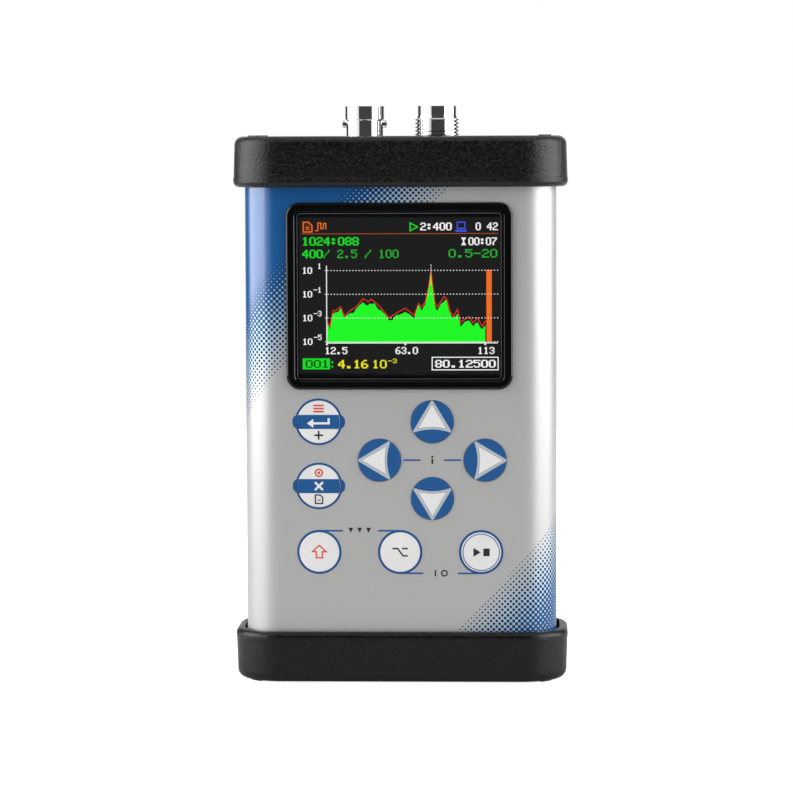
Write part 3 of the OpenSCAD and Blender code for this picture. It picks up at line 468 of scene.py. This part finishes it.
MATERIALS = {
    SILVER: ("housing", "battery_door"),
    FOIL: ("front_overlay",),
    RUBBER: ("top_bumper",),
    SMOOTH_RUBBER: ("bottom_bumper",),
    GASKET: ("top_gasket", "bottom_gasket", "display_seal"),
    BLACK_METAL: ("top_panel", "bottom_panel"),
    STEEL: (
        "top_screws", "bottom_screws", "board_screws", "key_board_screws", "door_screw",
        "hinge_pin", "display_frame", "input_shield", "usb_socket", "card_socket",
    ),
    BEZEL: ("display_bezel",),
    LENS: ("display_lens",),
    DISPLAY: ("display_glass",),
    CARRIER: ("display_carrier",),
    FILM: ("display_cable", "key_cable"),
    CHROME: (
        "bayonet_shell", "bayonet_washer", "bayonet_nut",
        "threaded_shell", "threaded_washer", "threaded_nut", "backup_cell",
    ),
    PTFE: ("bayonet_insulator", "threaded_insulator"),
    GOLD: ("bayonet_contact", "threaded_contact"),
    BOARD: ("main_board", "key_board"),
    CHIP: ("board_chips", "key_switches"),
    PALE: ("board_connectors", "key_guide"),
    CARD: ("memory_card",),
    WHITE_KEY: ("key_confirm", "key_cancel", "key_shift", "key_alt", "key_start"),
    BLUE_KEY: ("key_up", "key_down", "key_left", "key_right"),
    BOX: ("battery_box",),
    SPRING_STEEL: ("contact_plates", "leaf_springs"),
    SLEEVE: ("cell_1", "cell_2", "cell_3", "cell_4"),
}
for material, members in MATERIALS.items():
    for name in members:
        mesh = nodes[name].data
        mesh.materials.clear()
        mesh.materials.append(material)

# Printed shapes: thin plates drawn in x and z, facing the front. Ink lies INK_THICK proud of
# the face below it, and prints that lie over others stand a little further out.
INK_THICK = 0.02
SECOND_THICK = 0.035
THIRD_THICK = 0.05
INK_SUNK = 0.01
BOW_STEPS = 12
SHARPEST_MITRE = 0.4
SHORTEST = 1e-9


def on_circle(centre, radius, turn):
    """The point of a circle that lies a turn from +x towards +z"""
    angle = math.radians(turn)
    return (centre[0] + radius * math.cos(angle), centre[1] + radius * math.sin(angle))


def arc(centre, radius, start, end, steps):
    """Points along an arc, both ends included"""
    return [on_circle(centre, radius, start + (end - start) * k / steps) for k in range(steps + 1)]


def circle(centre, radius, steps=64):
    return arc(centre, radius, 0, 360, steps)[:-1]


def rounded(centre, width, height, radius):
    """Outline of a rectangle with round corners"""
    points = []
    for start, sx, sz in ((0, 1, 1), (90, -1, 1), (180, -1, -1), (270, 1, -1)):
        corner = (centre[0] + sx * (width / 2 - radius), centre[1] + sz * (height / 2 - radius))
        points += arc(corner, radius, start, start + 90, 8)
    return points


def heading(start, end):
    """Direction from start to end, or None where they meet"""
    length = math.dist(start, end)
    if length < SHORTEST:
        return None
    return ((end[0] - start[0]) / length, (end[1] - start[1]) / length)


def bow(start, end, sag):
    """Points from start to end along a shallow curve that bulges to its left by sag"""
    points = []
    ahead = heading(start, end)
    for k in range(BOW_STEPS + 1):
        t = k / BOW_STEPS
        lift = 4 * sag * t * (1 - t)
        x = start[0] + (end[0] - start[0]) * t - ahead[1] * lift
        z = start[1] + (end[1] - start[1]) * t + ahead[0] * lift
        points.append((x, z))
    return points


def turned(points, centre, degrees):
    """Points about the origin, turned and moved to a centre"""
    c, s = math.cos(math.radians(degrees)), math.sin(math.radians(degrees))
    return [(centre[0] + c * x - s * z, centre[1] + s * x + c * z) for x, z in points]


class Print:
    """Flat shapes of one colour on one body, with a thickness of a few hundredths"""

    def __init__(self, name, material, body, face, slot, thick=INK_THICK, sunk=INK_SUNK):
        self.name = name
        self.material = material
        self.body = body
        self.front = face - thick
        self.back = face + sunk
        self.slot = slot
        self.bm = bmesh.new()

    def loop(self, points, depth):
        return [self.bm.verts.new((x * MM, depth * MM, z * MM)) for x, z in points]

    def walls(self, first, second):
        """A closed strip of faces between two loops with as many points"""
        for k in range(len(first)):
            n = (k + 1) % len(first)
            self.bm.faces.new((first[k], first[n], second[n], second[k]))

    def shape(self, points):
        """A filled outline"""
        front = self.loop(points, self.front)
        back = self.loop(points, self.back)
        self.bm.faces.new(front)
        self.bm.faces.new(back[::-1])
        self.walls(front, back)

    def tube(self, outlines):
        """Strips from each outline, given with its depth, to the next and back to the first"""
        loops = [self.loop(points, depth) for points, depth in outlines]
        for first, second in zip(loops, loops[1:] + loops[:1]):
            self.walls(first, second)

    def band(self, outer, inner):
        """The space between two outlines with as many points"""
        front, back = self.front, self.back
        self.tube(((outer, front), (outer, back), (inner, back), (inner, front)))

    def hip(self, outer, inner):
        """A band whose face slopes from its inner edge down to its outer edge"""
        self.tube(((outer, self.back), (inner, self.front), (inner, self.back)))

    def ring(self, centre, radius, stroke):
        self.band(circle(centre, radius), circle(centre, radius - stroke))

    def disc(self, centre, radius):
        self.shape(circle(centre, radius, 40))

    def bar(self, x0, z0, x1, z1):
        self.shape([(x0, z0), (x1, z0), (x1, z1), (x0, z1)])

    def line(self, points, width, closed=False):
        """A stroke of even width along points, mitred at its corners"""
        count = len(points)
        left, right = [], []
        for k, p in enumerate(points):
            before = points[k - 1] if k or closed else p
            after = points[(k + 1) % count] if k < count - 1 or closed else p
            ways = [way for way in (heading(before, p), heading(p, after)) if way]
            x, z = heading((0, 0), [sum(parts) for parts in zip(*ways)])
            reach = width / 2 / max(SHARPEST_MITRE, x * ways[0][0] + z * ways[0][1])
            left.append((p[0] - z * reach, p[1] + x * reach))
            right.append((p[0] + z * reach, p[1] - x * reach))
        if closed:
            self.band(left, right)
        else:
            self.shape(left + right[::-1])

    def done(self):
        """Makes the piece, which rides on its body"""
        bmesh.ops.recalc_face_normals(self.bm, faces=self.bm.faces)
        mesh = bpy.data.meshes.new(self.name)
        self.bm.to_mesh(mesh)
        self.bm.free()
        mesh.materials.append(self.material)
        made = add_object(self.name, mesh)
        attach(made, self.body)


# Inks
INK_BLUE = ink("ink_blue", KEY_TONE)
INK_WHITE = ink("ink_white", (0.86, 0.86, 0.86))
INK_BLACK = ink("ink_black", (0.012, 0.012, 0.014))
INK_RED = ink("ink_red", (0.72, 0.06, 0.03))
INK_SILVER = ink("ink_silver", (0.50, 0.55, 0.60))
INK_GREY = ink("ink_grey", (0.36, 0.36, 0.37))

# Keys: the cap that all of them share, the rings and lugs on the foil, and the arrows
CAP_R = 5.25
PRINT_INSET = 0.02
PRINT_R = CAP_R - PRINT_INSET
RING_R = 5.8
RING_STROKE = 0.5
BAND_H = 3.5
BAND_REACH = 6.5
LUG_ROUND = 1.5
ROW_RING_R = 5.5
ROW_STROKE = 0.57
LINE_STROKE = 0.42
MARK_STROKE = 0.55
TIP_HALF_ANGLE = 2.4
BASE_ANGLE = 28
BASE_SAG = 0.8
FACE_SAG = 0.34


def key_print(name, part, material, slot="key_white", thick=INK_THICK):
    """A print on a key's cap, which rides with that key"""
    face = edges("key_" + name)[0].y
    return Print(f"{name}_{part}", material, f"{name}_key", face, slot, thick)


def foil_print(name, material, slot):
    return Print(name, material, "instrument", CASE_FRONT, slot)


def banded_key(name, above, across, below):
    """A white key with a blue band that runs on over the foil as two lugs"""
    x, z = key_centre(name)
    turn = math.degrees(math.asin(BAND_H / 2 / CAP_R))
    band = key_print(name, "band", INK_BLUE, "key_blue")
    right = arc((x, z), PRINT_R, -turn, turn, 12)
    left = arc((x, z), PRINT_R, 180 - turn, 180 + turn, 12)
    band.shape(right + left)
    band.done()
    for part, draw in (("red_mark", above), ("white_mark", across), ("black_mark", below)):
        draw(name, part, x, z)


def lugs(drawing, name):
    """Ring and lugs on the foil round a banded key"""
    centre = key_centre(name)
    drawing.ring(centre, RING_R, RING_STROKE)
    for side, flip in ((0, 1), (180, -1)):
        corner_x = centre[0] + flip * (BAND_REACH - LUG_ROUND)
        rise = flip * (BAND_H / 2 - LUG_ROUND)
        first = arc((corner_x, centre[1] - rise), LUG_ROUND, side - 90, side, 8)
        second = arc((corner_x, centre[1] + rise), LUG_ROUND, side, side + 90, 8)
        edge = [p for p in first + second if math.dist(p, centre) > RING_R]
        turn = math.degrees(math.asin(abs(edge[0][1] - centre[1]) / math.dist(edge[0], centre)))
        drawing.shape(arc(centre, RING_R, side + turn, side - turn, 12) + edge)


def menu_mark(name, part, x, z):
    """Three short bars, above the band"""
    mark = key_print(name, part, INK_RED)
    for k in range(3):
        mark.bar(x - 1.3, z + 2.35 + k * 0.75, x + 1.3, z + 2.75 + k * 0.75)
    mark.done()


def target_mark(name, part, x, z):
    """A ring round a dot, above the band"""
    mark = key_print(name, part, INK_RED)
    mark.ring((x, z + 3.3), 1.05, 0.36)
    mark.disc((x, z + 3.3), 0.34)
    mark.done()


def return_mark(name, part, x, z):
    """A bent arrow in the band"""
    mark = key_print(name, part, INK_WHITE, thick=SECOND_THICK)
    mark.line([(x + 2.5, z + 0.95), (x + 2.5, z - 0.35), (x - 1.3, z - 0.35)], MARK_STROKE)
    mark.shape([(x - 2.9, z - 0.35), (x - 1.3, z + 0.75), (x - 1.3, z - 1.45)])
    mark.done()


def cross_mark(name, part, x, z):
    """A cross in the band"""
    mark = key_print(name, part, INK_WHITE, thick=SECOND_THICK)
    mark.line([(x - 1.0, z - 1.0), (x + 1.0, z + 1.0)], MARK_STROKE)
    mark.line([(x - 1.0, z + 1.0), (x - 0.2, z + 0.2)], MARK_STROKE)
    mark.line([(x + 0.2, z - 0.2), (x + 1.0, z - 1.0)], MARK_STROKE)
    mark.done()


def plus_mark(name, part, x, z):
    """A plus, below the band"""
    mark = key_print(name, part, INK_BLACK)
    mark.bar(x - 1.1, z - 3.5, x + 1.1, z - 3.1)
    mark.bar(x - 0.2, z - 3.1, x + 0.2, z - 2.2)
    mark.bar(x - 0.2, z - 4.4, x + 0.2, z - 3.5)
    mark.done()


def sheet_mark(name, part, x, z):
    """A small page, below the band"""
    mark = key_print(name, part, INK_BLACK)
    page = [(-0.9, -4.3), (0.9, -4.3), (0.9, -2.8), (0.3, -2.2), (-0.9, -2.2)]
    mark.line(turned(page, (x, z), 0), 0.32, closed=True)
    mark.bar(x - 0.4, z - 3.6, x + 0.4, z - 3.35)
    mark.done()


banded_key("confirm", menu_mark, return_mark, plus_mark)
banded_key("cancel", target_mark, cross_mark, sheet_mark)


def arrow_key(name, turn):
    """A blue key with a pale triangle whose tips reach the edge and whose base bows inwards"""
    top, left, right = (
        arc((0, 0), PRINT_R, tip - TIP_HALF_ANGLE, tip + TIP_HALF_ANGLE, 3)
        for tip in (90, 180 + BASE_ANGLE, 360 - BASE_ANGLE)
    )
    border = top + left + bow(left[-1], right[0], BASE_SAG)[1:-1] + right
    outline = [(0, 4.62)] + bow((-3.62, -1.78), (3.62, -1.78), FACE_SAG)
    face = [(0, 4.3)] + bow((-3.40, -1.62), (3.40, -1.62), FACE_SAG)
    layers = (
        ("border", INK_SILVER, border, INK_THICK),
        ("outline", INK_GREY, outline, SECOND_THICK),
        ("face", INK_WHITE, face, THIRD_THICK),
    )
    for part, colour, points, thick in layers:
        layer = key_print(name, part, colour, thick=thick)
        layer.shape(turned(points, key_centre(name), turn))
        layer.done()


for name, turn in (("up", 0), ("left", 90), ("down", 180), ("right", 270)):
    arrow_key(name, turn)


def row_marks():
    """Marks on the three keys of the lowest row"""
    x, z = key_centre("shift")
    mark = key_print("shift", "red_mark", INK_RED)
    hat = [(0, 1.7), (-1.7, 0.1), (-0.75, 0.1), (-0.75, -1.4), (0.75, -1.4), (0.75, 0.1), (1.7, 0.1)]
    mark.line(turned(hat, (x, z), 0), 0.34, closed=True)
    mark.done()
    x, z = key_centre("alt")
    mark = key_print("alt", "black_mark", INK_BLACK)
    mark.line([(x - 1.9, z + 0.9), (x - 0.6, z + 0.9), (x + 0.7, z - 0.9), (x + 1.9, z - 0.9)], 0.38)
    mark.bar(x + 0.5, z + 0.71, x + 1.9, z + 1.09)
    mark.done()
    x, z = key_centre("start")
    mark = key_print("start", "black_mark", INK_BLACK)
    mark.shape([(x - 1.9, z - 1.1), (x - 0.1, z), (x - 1.9, z + 1.1)])
    mark.bar(x + 0.55, z - 0.95, x + 2.1, z + 0.95)
    mark.done()
    ring = key_print("start", "ring", INK_BLUE, "key_blue")
    ring.ring((x, z), 4.62, 0.22)
    ring.done()


row_marks()


def leader(drawing, name, way, rise, length):
    """A line that leaves a ring at its top or foot, as its tangent"""
    x, z = key_centre(name)
    turns = [math.acos(1 - LINE_STROKE / ROW_RING_R) * k / 8 for k in range(9)]
    curve = [(x + way * ROW_RING_R * math.sin(a), z + rise * ROW_RING_R * math.cos(a)) for a in turns]
    end = x + way * length
    drawing.shape(curve + [(end, curve[-1][1]), (end, z + rise * ROW_RING_R)])


def foil_lines():
    """Rings, lugs and lines in blue"""
    drawing = foil_print("foil_lines", INK_BLUE, "key_blue")
    lugs(drawing, "confirm")
    lugs(drawing, "cancel")
    for name in ("shift", "alt", "start"):
        drawing.ring(key_centre(name), ROW_RING_R, ROW_STROKE)
    up_x = key_centre("up")[0]
    left_z = key_centre("left")[1]
    for start in (up_x - 7.1, up_x + 2.9):
        drawing.bar(start, left_z - LINE_STROKE / 2, start + 4.2, left_z + LINE_STROKE / 2)
    leader(drawing, "shift", 1, 1, 5.9)
    leader(drawing, "alt", -1, 1, 5.5)
    leader(drawing, "alt", 1, -1, 5.7)
    leader(drawing, "start", -1, -1, 5.8)
    drawing.done()


def foil_labels():
    """Small plain marks where the lines break"""
    drawing = foil_print("foil_labels", INK_BLACK, "chip_black")
    up_x = key_centre("up")[0]
    left_z = key_centre("left")[1]
    drawing.disc((up_x, left_z + 0.85), 0.28)
    drawing.bar(up_x - 0.22, left_z - 0.95, up_x + 0.22, left_z + 0.35)
    (shift_x, row_z), (alt_x, _), (start_x, _) = (key_centre(n) for n in ("shift", "alt", "start"))
    x = (shift_x + alt_x) / 2
    z = row_z + ROW_RING_R
    for step in (-2.2, 0, 2.2):
        drawing.shape([(x + step - 0.6, z + 0.55), (x + step, z - 0.75), (x + step + 0.6, z + 0.55)])
    x = (alt_x + start_x) / 2
    z = row_z - ROW_RING_R + 0.25
    drawing.bar(x - 1.5, z - 0.8, x - 1.12, z + 0.8)
    drawing.ring((x + 0.9, z), 0.85, 0.34)
    drawing.done()


foil_lines()
foil_labels()

# Display picture, drawn on the display's own grid of dots, which are a little higher than wide
GRID_W, GRID_H = 320, 240
PICTURE_W = 49.55
PICTURE_RISE = 0.13
DOT = PICTURE_W / GRID_W
DOT_HIGH = DOT * 1.03
LAYER_STEP = 0.03
GLASS_X, GLASS_Z = middle(glass_low, glass_high)
PICTURE_Z = GLASS_Z + PICTURE_RISE

# Characters on 5 by 7 cells. A space has none.
GLYPHS = {
    "0": ("01110", "10001", "10001", "10001", "10001", "10001", "01110"),
    "1": ("00100", "01100", "00100", "00100", "00100", "00100", "01110"),
    "2": ("01110", "10001", "00001", "00110", "01000", "10000", "11111"),
    "3": ("01110", "10001", "00001", "00110", "00001", "10001", "01110"),
    "4": ("00010", "00110", "01010", "10010", "11111", "00010", "00010"),
    "5": ("11111", "10000", "11110", "00001", "00001", "10001", "01110"),
    "6": ("00110", "01000", "10000", "11110", "10001", "10001", "01110"),
    "7": ("11111", "00001", "00010", "00100", "01000", "01000", "01000"),
    "8": ("01110", "10001", "10001", "01110", "10001", "10001", "01110"),
    "9": ("01110", "10001", "10001", "01111", "00001", "00010", "01100"),
    ".": ("00000", "00000", "00000", "00000", "00000", "01100", "01100"),
    ":": ("00000", "01100", "01100", "00000", "01100", "01100", "00000"),
    "-": ("00000", "00000", "00000", "11111", "00000", "00000", "00000"),
    "/": ("00001", "00001", "00010", "00100", "01000", "10000", "10000"),
}


class Picture(Print):
    """A colour of the display's picture, in dots from its upper left corner"""

    def __init__(self, name, colour, layer):
        face = glass_low.y - LAYER_STEP * layer
        super().__init__(name, glow(name, colour), "instrument", face, "display_face", sunk=0.0)

    def at(self, x, y):
        return (GLASS_X + (x - GRID_W / 2) * DOT, PICTURE_Z + (GRID_H / 2 - y) * DOT_HIGH)

    def fill(self, x0, y0, x1, y1):
        """A filled rectangle between two corners"""
        left, top = self.at(x0, y0)
        right, low = self.at(x1, y1)
        self.bar(left, low, right, top)

    def trace(self, points, width, closed=False):
        self.line([self.at(x, y) for x, y in points], width * DOT, closed)

    def area(self, points):
        self.shape([self.at(x, y) for x, y in points])

    def digits(self, text, x, y, pitch, height, weight):
        """Characters, each run of cells as one bar. A cell is drawn weight cells wide."""
        cell_h = height / 7
        cell_w = pitch / 6
        for k, letter in enumerate(text):
            for row, cells in enumerate(GLYPHS.get(letter, ())):
                for start, end in runs(cells):
                    left = x + k * pitch + start * cell_w
                    right = x + k * pitch + (end - 1 + weight) * cell_w
                    self.fill(left, y + row * cell_h, right, y + (row + 1) * cell_h)


def runs(cells):
    """Start and end of each run of ones"""
    found = []
    start = None
    for k, cell in enumerate(cells + "0"):
        if cell == "1" and start is None:
            start = k
        if cell == "0" and start is not None:
            found.append((start, k))
            start = None
    return found


# Places of the plot and outlines of two icons, in dots
PLOT_X, PLOT_TOP, PLOT_LOW, PLOT_END, AXIS_END = 44, 74, 193, 297, 316
SCALE_TOP = 81
SCALE_STEP = 36.7
PEAK_X = 210
FILL_LOWEST = 184
CARD_ICON = ((7, 7), (15.5, 7), (21, 12), (21, 22), (7, 22))
WAVE_ICON = (
    (26, 20), (30.5, 20), (30.5, 8), (35, 8), (35, 17), (39, 17), (39, 9), (43, 9), (43, 18),
)

# Outline of the spectrum: places across and down, in dots
PEAKS = (
    (44, 160), (49, 168), (54, 143), (58, 144), (66, 138), (72, 152), (82, 143), (91, 138), (102, 125),
    (110, 130), (115, 126), (125, 134), (136, 146), (143, 155), (154, 148), (169, 140), (183, 151),
    (190, 133), (195, 138), (201, 130), (206, 108), (210, 80), (213, 108), (216, 131), (220, 138),
    (231, 122), (235, 126), (241, 147), (246, 152), (252, 142), (257, 162), (270, 153), (277, 163),
    (284, 155), (291, 168), (297, 159),
)


def lower_peaks():
    """The filled trace under the envelope: a little lower, with dips of its own"""
    random.seed(7)
    points = []
    for (x0, y0), (x1, y1) in zip(PEAKS, PEAKS[1:]):
        for t in (0, 0.5):
            x = x0 + (x1 - x0) * t
            deepest = 5 if PEAK_X - 7 < x < PEAK_X + 6 else 8
            points.append((x, min(y0 + (y1 - y0) * t + random.uniform(2, deepest), FILL_LOWEST)))
    return points + [(PLOT_END - 1, PEAKS[-1][1] + 7)]


def display_picture():
    """The lit picture: one piece for each colour, from the ground up"""
    ground = Picture("picture_ground", (0.0122, 0.0122, 0.0128), 1)
    ground.fill(0, 0, GRID_W, GRID_H)
    ground.done()
    fill = Picture("picture_spectrum", (0.015, 0.95, 0.02), 2)
    fill.area([(PLOT_X + 1, PLOT_LOW)] + lower_peaks() + [(PLOT_END - 1, PLOT_LOW)])
    fill.done()
    green = Picture("picture_green", (0.01, 0.72, 0.02), 2)
    green.digits("1024:088", 5, 30, 11.4, 13, 1.6)
    green.digits("400", 5, 49.5, 11.3, 13, 1.6)
    green.trace([(177, 8.5), (189, 14.5), (177, 20.5)], 1.8, closed=True)
    green.fill(5, 217.5, 48.5, 234.5)
    green.fill(51, 222, 53.5, 225)
    green.fill(51, 229, 53.5, 232)
    green.done()
    dim = Picture("picture_dim_green", (0.02, 0.42, 0.03), 2)
    dim.digits("/ 2.5 / 100", 39, 49.5, 11.0, 13, 1.2)
    dim.digits("0.5-20", 238, 49, 13.2, 13, 1.2)
    dim.done()
    inverse = Picture("picture_inverse", (0.004, 0.05, 0.005), 3)
    inverse.digits("001", 9.5, 220, 13, 12, 1.35)
    inverse.done()
    red = Picture("picture_envelope", (0.62, 0.03, 0.015), 3)
    red.trace(PEAKS, 1.7)
    red.done()
    yellow = Picture("picture_yellow", (0.85, 0.78, 0.02), 2)
    yellow.digits("4.16", 61.5, 220, 12.2, 13, 1.6)
    yellow.digits("10", 116, 220, 12.2, 13, 1.3)
    yellow.digits("-3", 141, 218, 7.6, 7, 1.2)
    yellow.done()
    brown = Picture("picture_brown", (0.085, 0.02, 0.006), 2)
    brown.area(CARD_ICON)
    brown.done()
    tip = Picture("picture_tip", (0.85, 0.42, 0.01), 4)
    tip.area([(PEAK_X - 1.4, 102), (PEAK_X, 84), (PEAK_X + 1.4, 102)])
    tip.done()
    orange = Picture("picture_orange", (0.85, 0.16, 0.02), 3)
    orange.fill(298, SCALE_TOP, 306.5, PLOT_LOW - 0.5)
    orange.trace(CARD_ICON, 1.8, closed=True)
    orange.fill(11, 14, 17, 15.5)
    orange.fill(11, 17, 17, 18.5)
    orange.trace(WAVE_ICON, 1.6)
    orange.done()
    rule = Picture("picture_rule", (0.30, 0.07, 0.022), 2)
    rule.fill(4, 24.3, 317, 25.6)
    rule.done()
    blue = Picture("picture_blue", (0.05, 0.09, 0.75), 2)
    blue.trace([(252, 7.5), (264, 7.5), (264, 17), (252, 17)], 2, closed=True)
    blue.fill(249, 19, 267, 22.5)
    blue.done()
    white_parts()


def white_parts():
    """White numbers, the axes of the plot and the frame of the last reading"""
    white = Picture("picture_white", (0.9, 0.9, 0.9), 3)
    white.digits("2:400", 193, 8, 10.2, 12, 1.6)
    white.digits("0 42", 281, 8, 9.0, 12, 1.6)
    white.digits("00:07", 269.5, 31, 9.2, 12, 1.6)
    white.area([(258, 31), (266, 31), (262.6, 37), (266, 43), (258, 43), (261.4, 37)])
    for row, power in enumerate((" 1", "-1", "-3", "-5")):
        y = SCALE_TOP + row * SCALE_STEP
        white.digits("10", 5, y - 4.5, 8.3, 10, 1.5)
        white.digits(power, 23.0, y - 10.5, 6.6, 8.5, 1.4)
        for x in range(PLOT_X + 1, AXIS_END, 5):
            white.fill(x, y, x + 1.8, y + 1.3)
        white.fill(PLOT_X - 3, y, PLOT_X - 1, y + 1)
    for text, x in (("12.5", 40.5), ("63.0", 153), ("113", 284)):
        white.digits(text, x, 200, 9.2, 11, 1.5)
    for x in (PLOT_X, 169, 296):
        white.fill(x - 1.5, PLOT_LOW + 1.5, x + 1.5, PLOT_LOW + 4)
    white.fill(PLOT_X - 1, PLOT_TOP, PLOT_X + 0.5, PLOT_LOW)
    white.fill(PLOT_X - 1, PLOT_LOW, AXIS_END, PLOT_LOW + 1.5)
    for y in range(73, 104, 4):
        white.fill(PEAK_X - 0.6, y, PEAK_X + 0.6, y + 2)
    white.trace([(211.5, 216), (316.5, 216), (316.5, 235.5), (211.5, 235.5)], 1.6, closed=True)
    white.digits("80.12500", 216, 220, 12.2, 12, 1.6)
    white.done()


display_picture()

# The lens's rim, and how much narrower and lower than the lens it is
RIM_W = 0.2
RIM_ROUND = 1.0
RIM_THICK = 0.16
RIM_NARROWER = 0.7
RIM_LOWER = 0.4


def lens_edge():
    """The lens's polished rim, which slopes outwards and catches some real light; its grey ink is a
    painted highlight that draws the thin light line along the lens's edge
    """
    width = lens_high.x - lens_low.x - RIM_NARROWER
    height = lens_high.z - lens_low.z - RIM_LOWER
    centre = middle(lens_low, lens_high)
    outer = rounded(centre, width, height, RIM_ROUND)
    inner = rounded(centre, width - 2 * RIM_W, height - 2 * RIM_W, RIM_ROUND - RIM_W)
    # The rim's grey is a painted highlight: the thin light line at the lens's edge
    painted_highlight = ink("rim_painted_highlight", (0.10, 0.11, 0.12), 0.22)
    rim = Print("lens_rim", painted_highlight, "instrument", lens_low.y, "display_face", RIM_THICK)
    rim.hip(outer, inner)
    rim.done()


lens_edge()

# Studio: floor, lights, surroundings and camera
FLOOR_REACH = 700


def floor():
    """A pale disc, plain white to the camera and dim to the object"""
    bm = bmesh.new()
    bmesh.ops.create_circle(bm, cap_ends=True, segments=96, radius=FLOOR_REACH * MM)
    mesh = bpy.data.meshes.new("floor")
    bm.to_mesh(mesh)
    bm.free()
    f = Finish("pale_floor")
    seen = f.node("ShaderNodeLightPath", output="Is Camera Ray")
    pale = f.mix(seen, grey(0.05), grey(0.85))
    f.surface(Base_Color=grey(0.55), Roughness=0.7, Specular_IOR_Level=0.1)
    mesh.materials.append(f.surface(Emission_Color=pale, Emission_Strength=1.0))
    add_object("floor", mesh)


# The studio's lights by direction. Each pair says where a light starts to rise or fall, and
# where it ends: as a turn from the front round to either side, or as the height of the
# direction, from 0 at eye level to 1 straight up. A glow is a light's brightness.
STRIP_FROM, STRIP_TO = (31, 34), (60, 61)
BOX_FROM, BOX_TO = (46, 52), (108, 122)
BACK_FROM = (150, 160)
SIDES_TOP = (0.6, 0.8)
OVERHEAD_FROM = (0.6, 0.9)
FRONT_GLOW = 0.06
STRIP_GLOW = 0.9
SIDE_GLOW = 4.2
BACK_GLOW = 0.7
OVERHEAD_GLOW = 0.78


def surroundings():
    """White to the camera. Round the object: dim in front, tall soft boxes at its sides,
    grey behind and a soft light overhead"""
    world = bpy.data.worlds.new("studio")
    bpy.context.scene.world = world
    world.use_nodes = True
    world.node_tree.nodes.clear()
    n = Nodes(world.node_tree)
    x, y, z = n.axes(n.node("ShaderNodeTexCoord", output="Generated"))
    turn = n.math("ARCTAN2", n.math("ABSOLUTE", x), y * -1.0) * math.degrees(1)
    left = n.ramp(x, -0.01, 0.01, 1.0, 0.0)
    strip = n.ramp(turn, *STRIP_FROM) * n.ramp(turn, *STRIP_TO, 1.0, 0.0) * left * STRIP_GLOW
    box = n.ramp(turn, *BOX_FROM) * n.ramp(turn, *BOX_TO, 1.0, 0.0) * SIDE_GLOW
    behind = n.ramp(turn, *BACK_FROM) * (BACK_GLOW - FRONT_GLOW)
    sides = n.math("MAXIMUM", n.math("MAXIMUM", strip, box), behind)
    overhead = n.ramp(z, *OVERHEAD_FROM, 0.0, OVERHEAD_GLOW, "SMOOTHSTEP")
    around = sides * n.ramp(z, *SIDES_TOP, 1.0, 0.0, "SMOOTHSTEP") + FRONT_GLOW + overhead
    seen = n.node("ShaderNodeLightPath", output="Is Camera Ray")
    strength = around + seen * (1 - around)
    light = n.node("ShaderNodeBackground", inputs={0: grey(1.0), 1: strength})
    out = world.node_tree.nodes.new("ShaderNodeOutputWorld")
    n.feed(out.inputs[0], light)


# The camera's place, turns and lens
CAMERA_DISTANCE = 836.7
CAMERA_HEIGHT = 135.68
CAMERA_SIDE = 33.64
CAMERA_PITCH = 4.488
CAMERA_YAW = 2.395
CAMERA_ROLL = -0.22
CAMERA_LENS = 152.32
SENSOR_WIDTH = 36
NEAREST, FURTHEST = 50, 50000


def camera():
    """The photograph's view: a little from the right, level with the top and tilted down"""
    data = bpy.data.cameras.new("camera")
    data.lens = CAMERA_LENS
    data.sensor_width = SENSOR_WIDTH
    data.clip_start = NEAREST * MM
    data.clip_end = FURTHEST * MM
    made = add_object("camera", data)
    made.location = Vector((CAMERA_SIDE, -CAMERA_DISTANCE, CAMERA_HEIGHT)) * MM
    level = Matrix.Rotation(math.radians(90 - CAMERA_PITCH), 4, "X")
    turn = Matrix.Rotation(math.radians(CAMERA_YAW), 4, "Z")
    roll = Matrix.Rotation(math.radians(CAMERA_ROLL), 4, "Z")
    made.rotation_euler = (turn @ level @ roll).to_euler()
    bpy.context.scene.camera = made
    bpy.context.scene.view_settings.view_transform = "Standard"


floor()
surroundings()
camera()
